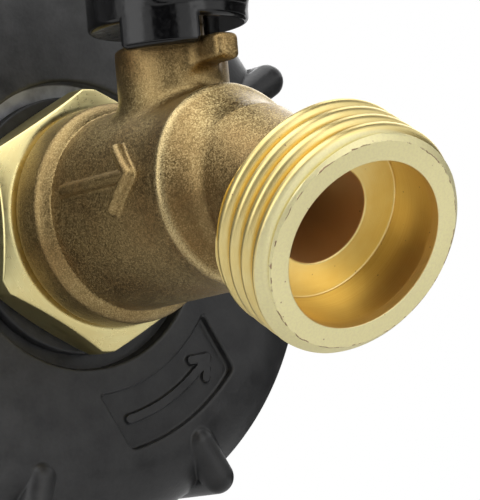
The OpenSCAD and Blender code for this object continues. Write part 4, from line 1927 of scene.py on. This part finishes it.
LIGHTS = (
    SoftBox("left_light", (-470.0, 160.0, 390.0), (280.0, 520.0), watts=0.55),
    SoftBox("right_light", (420.0, 260.0, 420.0), (260.0, 520.0), watts=0.5),
    SoftBox("top_light", (-60.0, 640.0, -120.0), (800.0, 760.0), watts=2.6),
    SoftBox("back_light", (40.0, 270.0, -800.0), (600.0, 260.0), watts=1.2),
    SoftBox("high_light", (-120.0, 560.0, 330.0), (500.0, 300.0), watts=0.4),
    SoftBox("elbow_light", (2.6, 30.0, 4.3), (14.0, 12.0), watts=0.00036, spread=90.0),
)
CARDS = (
    Card("dark_room", (-45.0, 0.0, 640.0), (420.0, 900.0), grey=0.02),
    Card("left_wall", (-760.0, 0.0, -240.0), (900.0, 1200.0), grey=0.24),
    Card("right_wall", (795.0, -20.0, -423.0), (1000.0, 640.0), grey=0.05),
    Card("right_flag", (360.0, 480.0, -60.0), (400.0, 400.0), grey=0.2),
    Card("under_card", (10.0, -105.0, 105.0), (140.0, 90.0), grey=0.1),
    Card("front_card", (-70.0, -48.0, 120.0), (220.0, 60.0), grey=0.03),
    Card("low_card", (180.0, -45.0, -60.0), (300.0, 110.0), grey=0.03),
    Card("edge_card", (85.0, -50.0, -100.0), (170.0, 100.0), grey=0.02),
)


@dataclass
class Studio:
    """The pale floor, the white room, the soft lights, the grey cards and the camera."""

    azimuth: float = -36.766
    elevation: float = -5.335
    roll: float = -5.114
    reach: float = 386.7
    aim: Triple = (0.0, -59.23, -7.08)
    focal_pixels: float = 3470.6
    sensor: float = 36.0
    nearest: float = 10.0
    floor_z: float = -60.0
    floor_size: Pair = (3000.0, 3000.0)
    floor_grey: float = 0.92
    floor_rough: float = 0.9
    card_rough: float = 1.0
    ambient: float = 0.45
    white: tuple[float, float, float, float] = (1.0, 1.0, 1.0, 1.0)

    def axes(self) -> tuple[Vector, Vector, Vector]:
        """Returns the camera's right, up and backward directions."""
        turn = math.radians(self.azimuth)
        tilt = math.radians(self.elevation)
        roll = math.radians(self.roll)
        back = Vector((math.sin(turn) * math.cos(tilt), -math.cos(turn) * math.cos(tilt), math.sin(tilt)))
        level = Vector((math.cos(turn), math.sin(turn), 0.0))
        upright = back.cross(level)
        right = level * math.cos(roll) + upright * math.sin(roll)
        return right, back.cross(right), back

    def camera(self) -> None:
        """Sets the camera where the photograph was taken from."""
        axes = self.axes()
        lens = bpy.data.cameras.new("photo_camera")
        lens.sensor_width = self.sensor
        lens.lens = self.focal_pixels * self.sensor / IMAGE_HEIGHT
        lens.clip_start = self.nearest * MM
        made = add_object("photo_camera", lens)
        turn = Matrix(axes).transposed().to_4x4()
        made.matrix_world = Matrix.Translation((Vector(self.aim) + axes[-1] * self.reach) * MM) @ turn
        bpy.context.scene.camera = made

    def hang(self, made: bpy.types.Object, panel: Panel) -> None:
        """Turns a light or a card to the aim, out of the camera's sight.

        Args:
            made: The light or card.
            panel: Its place.
        """
        away = sum((axis * run for axis, run in zip(self.axes(), panel.spot)), Vector())
        turn = away.to_track_quat("Z", "Y").to_matrix().to_4x4()
        made.matrix_world = Matrix.Translation((Vector(self.aim) + away) * MM) @ turn
        made.visible_camera = False

    def softbox(self, panel: SoftBox) -> None:
        """Hangs a soft light.

        Args:
            panel: The light's place, size and power.
        """
        light = bpy.data.lights.new(panel.name, "AREA")
        light.shape = "RECTANGLE"
        light.size = panel.size[0] * MM
        light.size_y = panel.size[1] * MM
        light.energy = panel.watts
        light.spread = math.radians(panel.spread)
        self.hang(add_object(panel.name, light), panel)

    def sheet(self, name: str, size: Pair, grey: float, rough: float) -> bpy.types.Object:
        """Makes a flat grey sheet.

        Args:
            name: The sheet's name.
            size: Its width and height in millimetres.
            grey: Its shade.
            rough: How dull it is.

        Returns:
            The sheet, flat in the middle of the room.
        """
        wide, high = (side / 2.0 * MM for side in size)
        mesh = bpy.data.meshes.new(name)
        corners = [(-wide, -high, 0.0), (wide, -high, 0.0), (wide, high, 0.0), (-wide, high, 0.0)]
        mesh.from_pydata(corners, [], [tuple(range(len(corners)))])
        mesh.materials.append(Graph(name, Base_Color=(grey, grey, grey, 1.0), Roughness=rough).material)
        made = add_object(name, mesh)
        return made

    def world(self) -> None:
        """Lights the room softly and shows it white to the camera, in reflections and through glass."""
        made = bpy.data.worlds.new("white_room")
        made.use_nodes = True
        tree = made.node_tree
        seen = tree.nodes["Background"]
        lit = tree.nodes.new("ShaderNodeBackground")
        lit.inputs["Strength"].default_value = self.ambient
        for background in (seen, lit):
            background.inputs["Color"].default_value = self.white
        path = tree.nodes.new("ShaderNodeLightPath").outputs
        either = path["Is Camera Ray"]
        for name in ("Is Glossy Ray", "Is Transmission Ray"):
            node = tree.nodes.new("ShaderNodeMath")
            node.operation = "MAXIMUM"
            tree.links.new(either, node.inputs[0])
            tree.links.new(path[name], node.inputs[1])
            either = node.outputs["Value"]
        mix = tree.nodes.new("ShaderNodeMixShader")
        tree.links.new(either, mix.inputs["Fac"])
        tree.links.new(lit.outputs["Background"], mix.inputs[1])
        tree.links.new(seen.outputs["Background"], mix.inputs[2])
        tree.links.new(mix.outputs["Shader"], tree.nodes["World Output"].inputs["Surface"])
        bpy.context.scene.world = made

    def build(self) -> None:
        """Sets up the view, the camera, the room, the floor, the lights and the cards."""
        bpy.context.scene.view_settings.view_transform = "Standard"
        self.camera()
        self.world()
        floor = self.sheet("pale_floor", self.floor_size, self.floor_grey, self.floor_rough)
        floor.matrix_world = Matrix.Translation((0.0, 0.0, self.floor_z * MM))
        for light in LIGHTS:
            self.softbox(light)
        for card in CARDS:
            self.hang(self.sheet(card.name, card.size, card.grey, self.card_rough), card)


def main() -> None:
    """Builds the tap, its finishes and the studio."""
    logging.basicConfig(level=logging.INFO, format="%(message)s")
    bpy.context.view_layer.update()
    layout = Layout.from_record(frame["record"])
    Studio().build()
    rubber = SEAL_RUBBER.material()
    TankCap(layout).build(rubber)
    Tailpiece().build(rubber)
    ValveBody(layout).build()
    Mechanism(layout).build(rubber)
    Lever(layout).build()


if __name__ == "__main__":
    main()
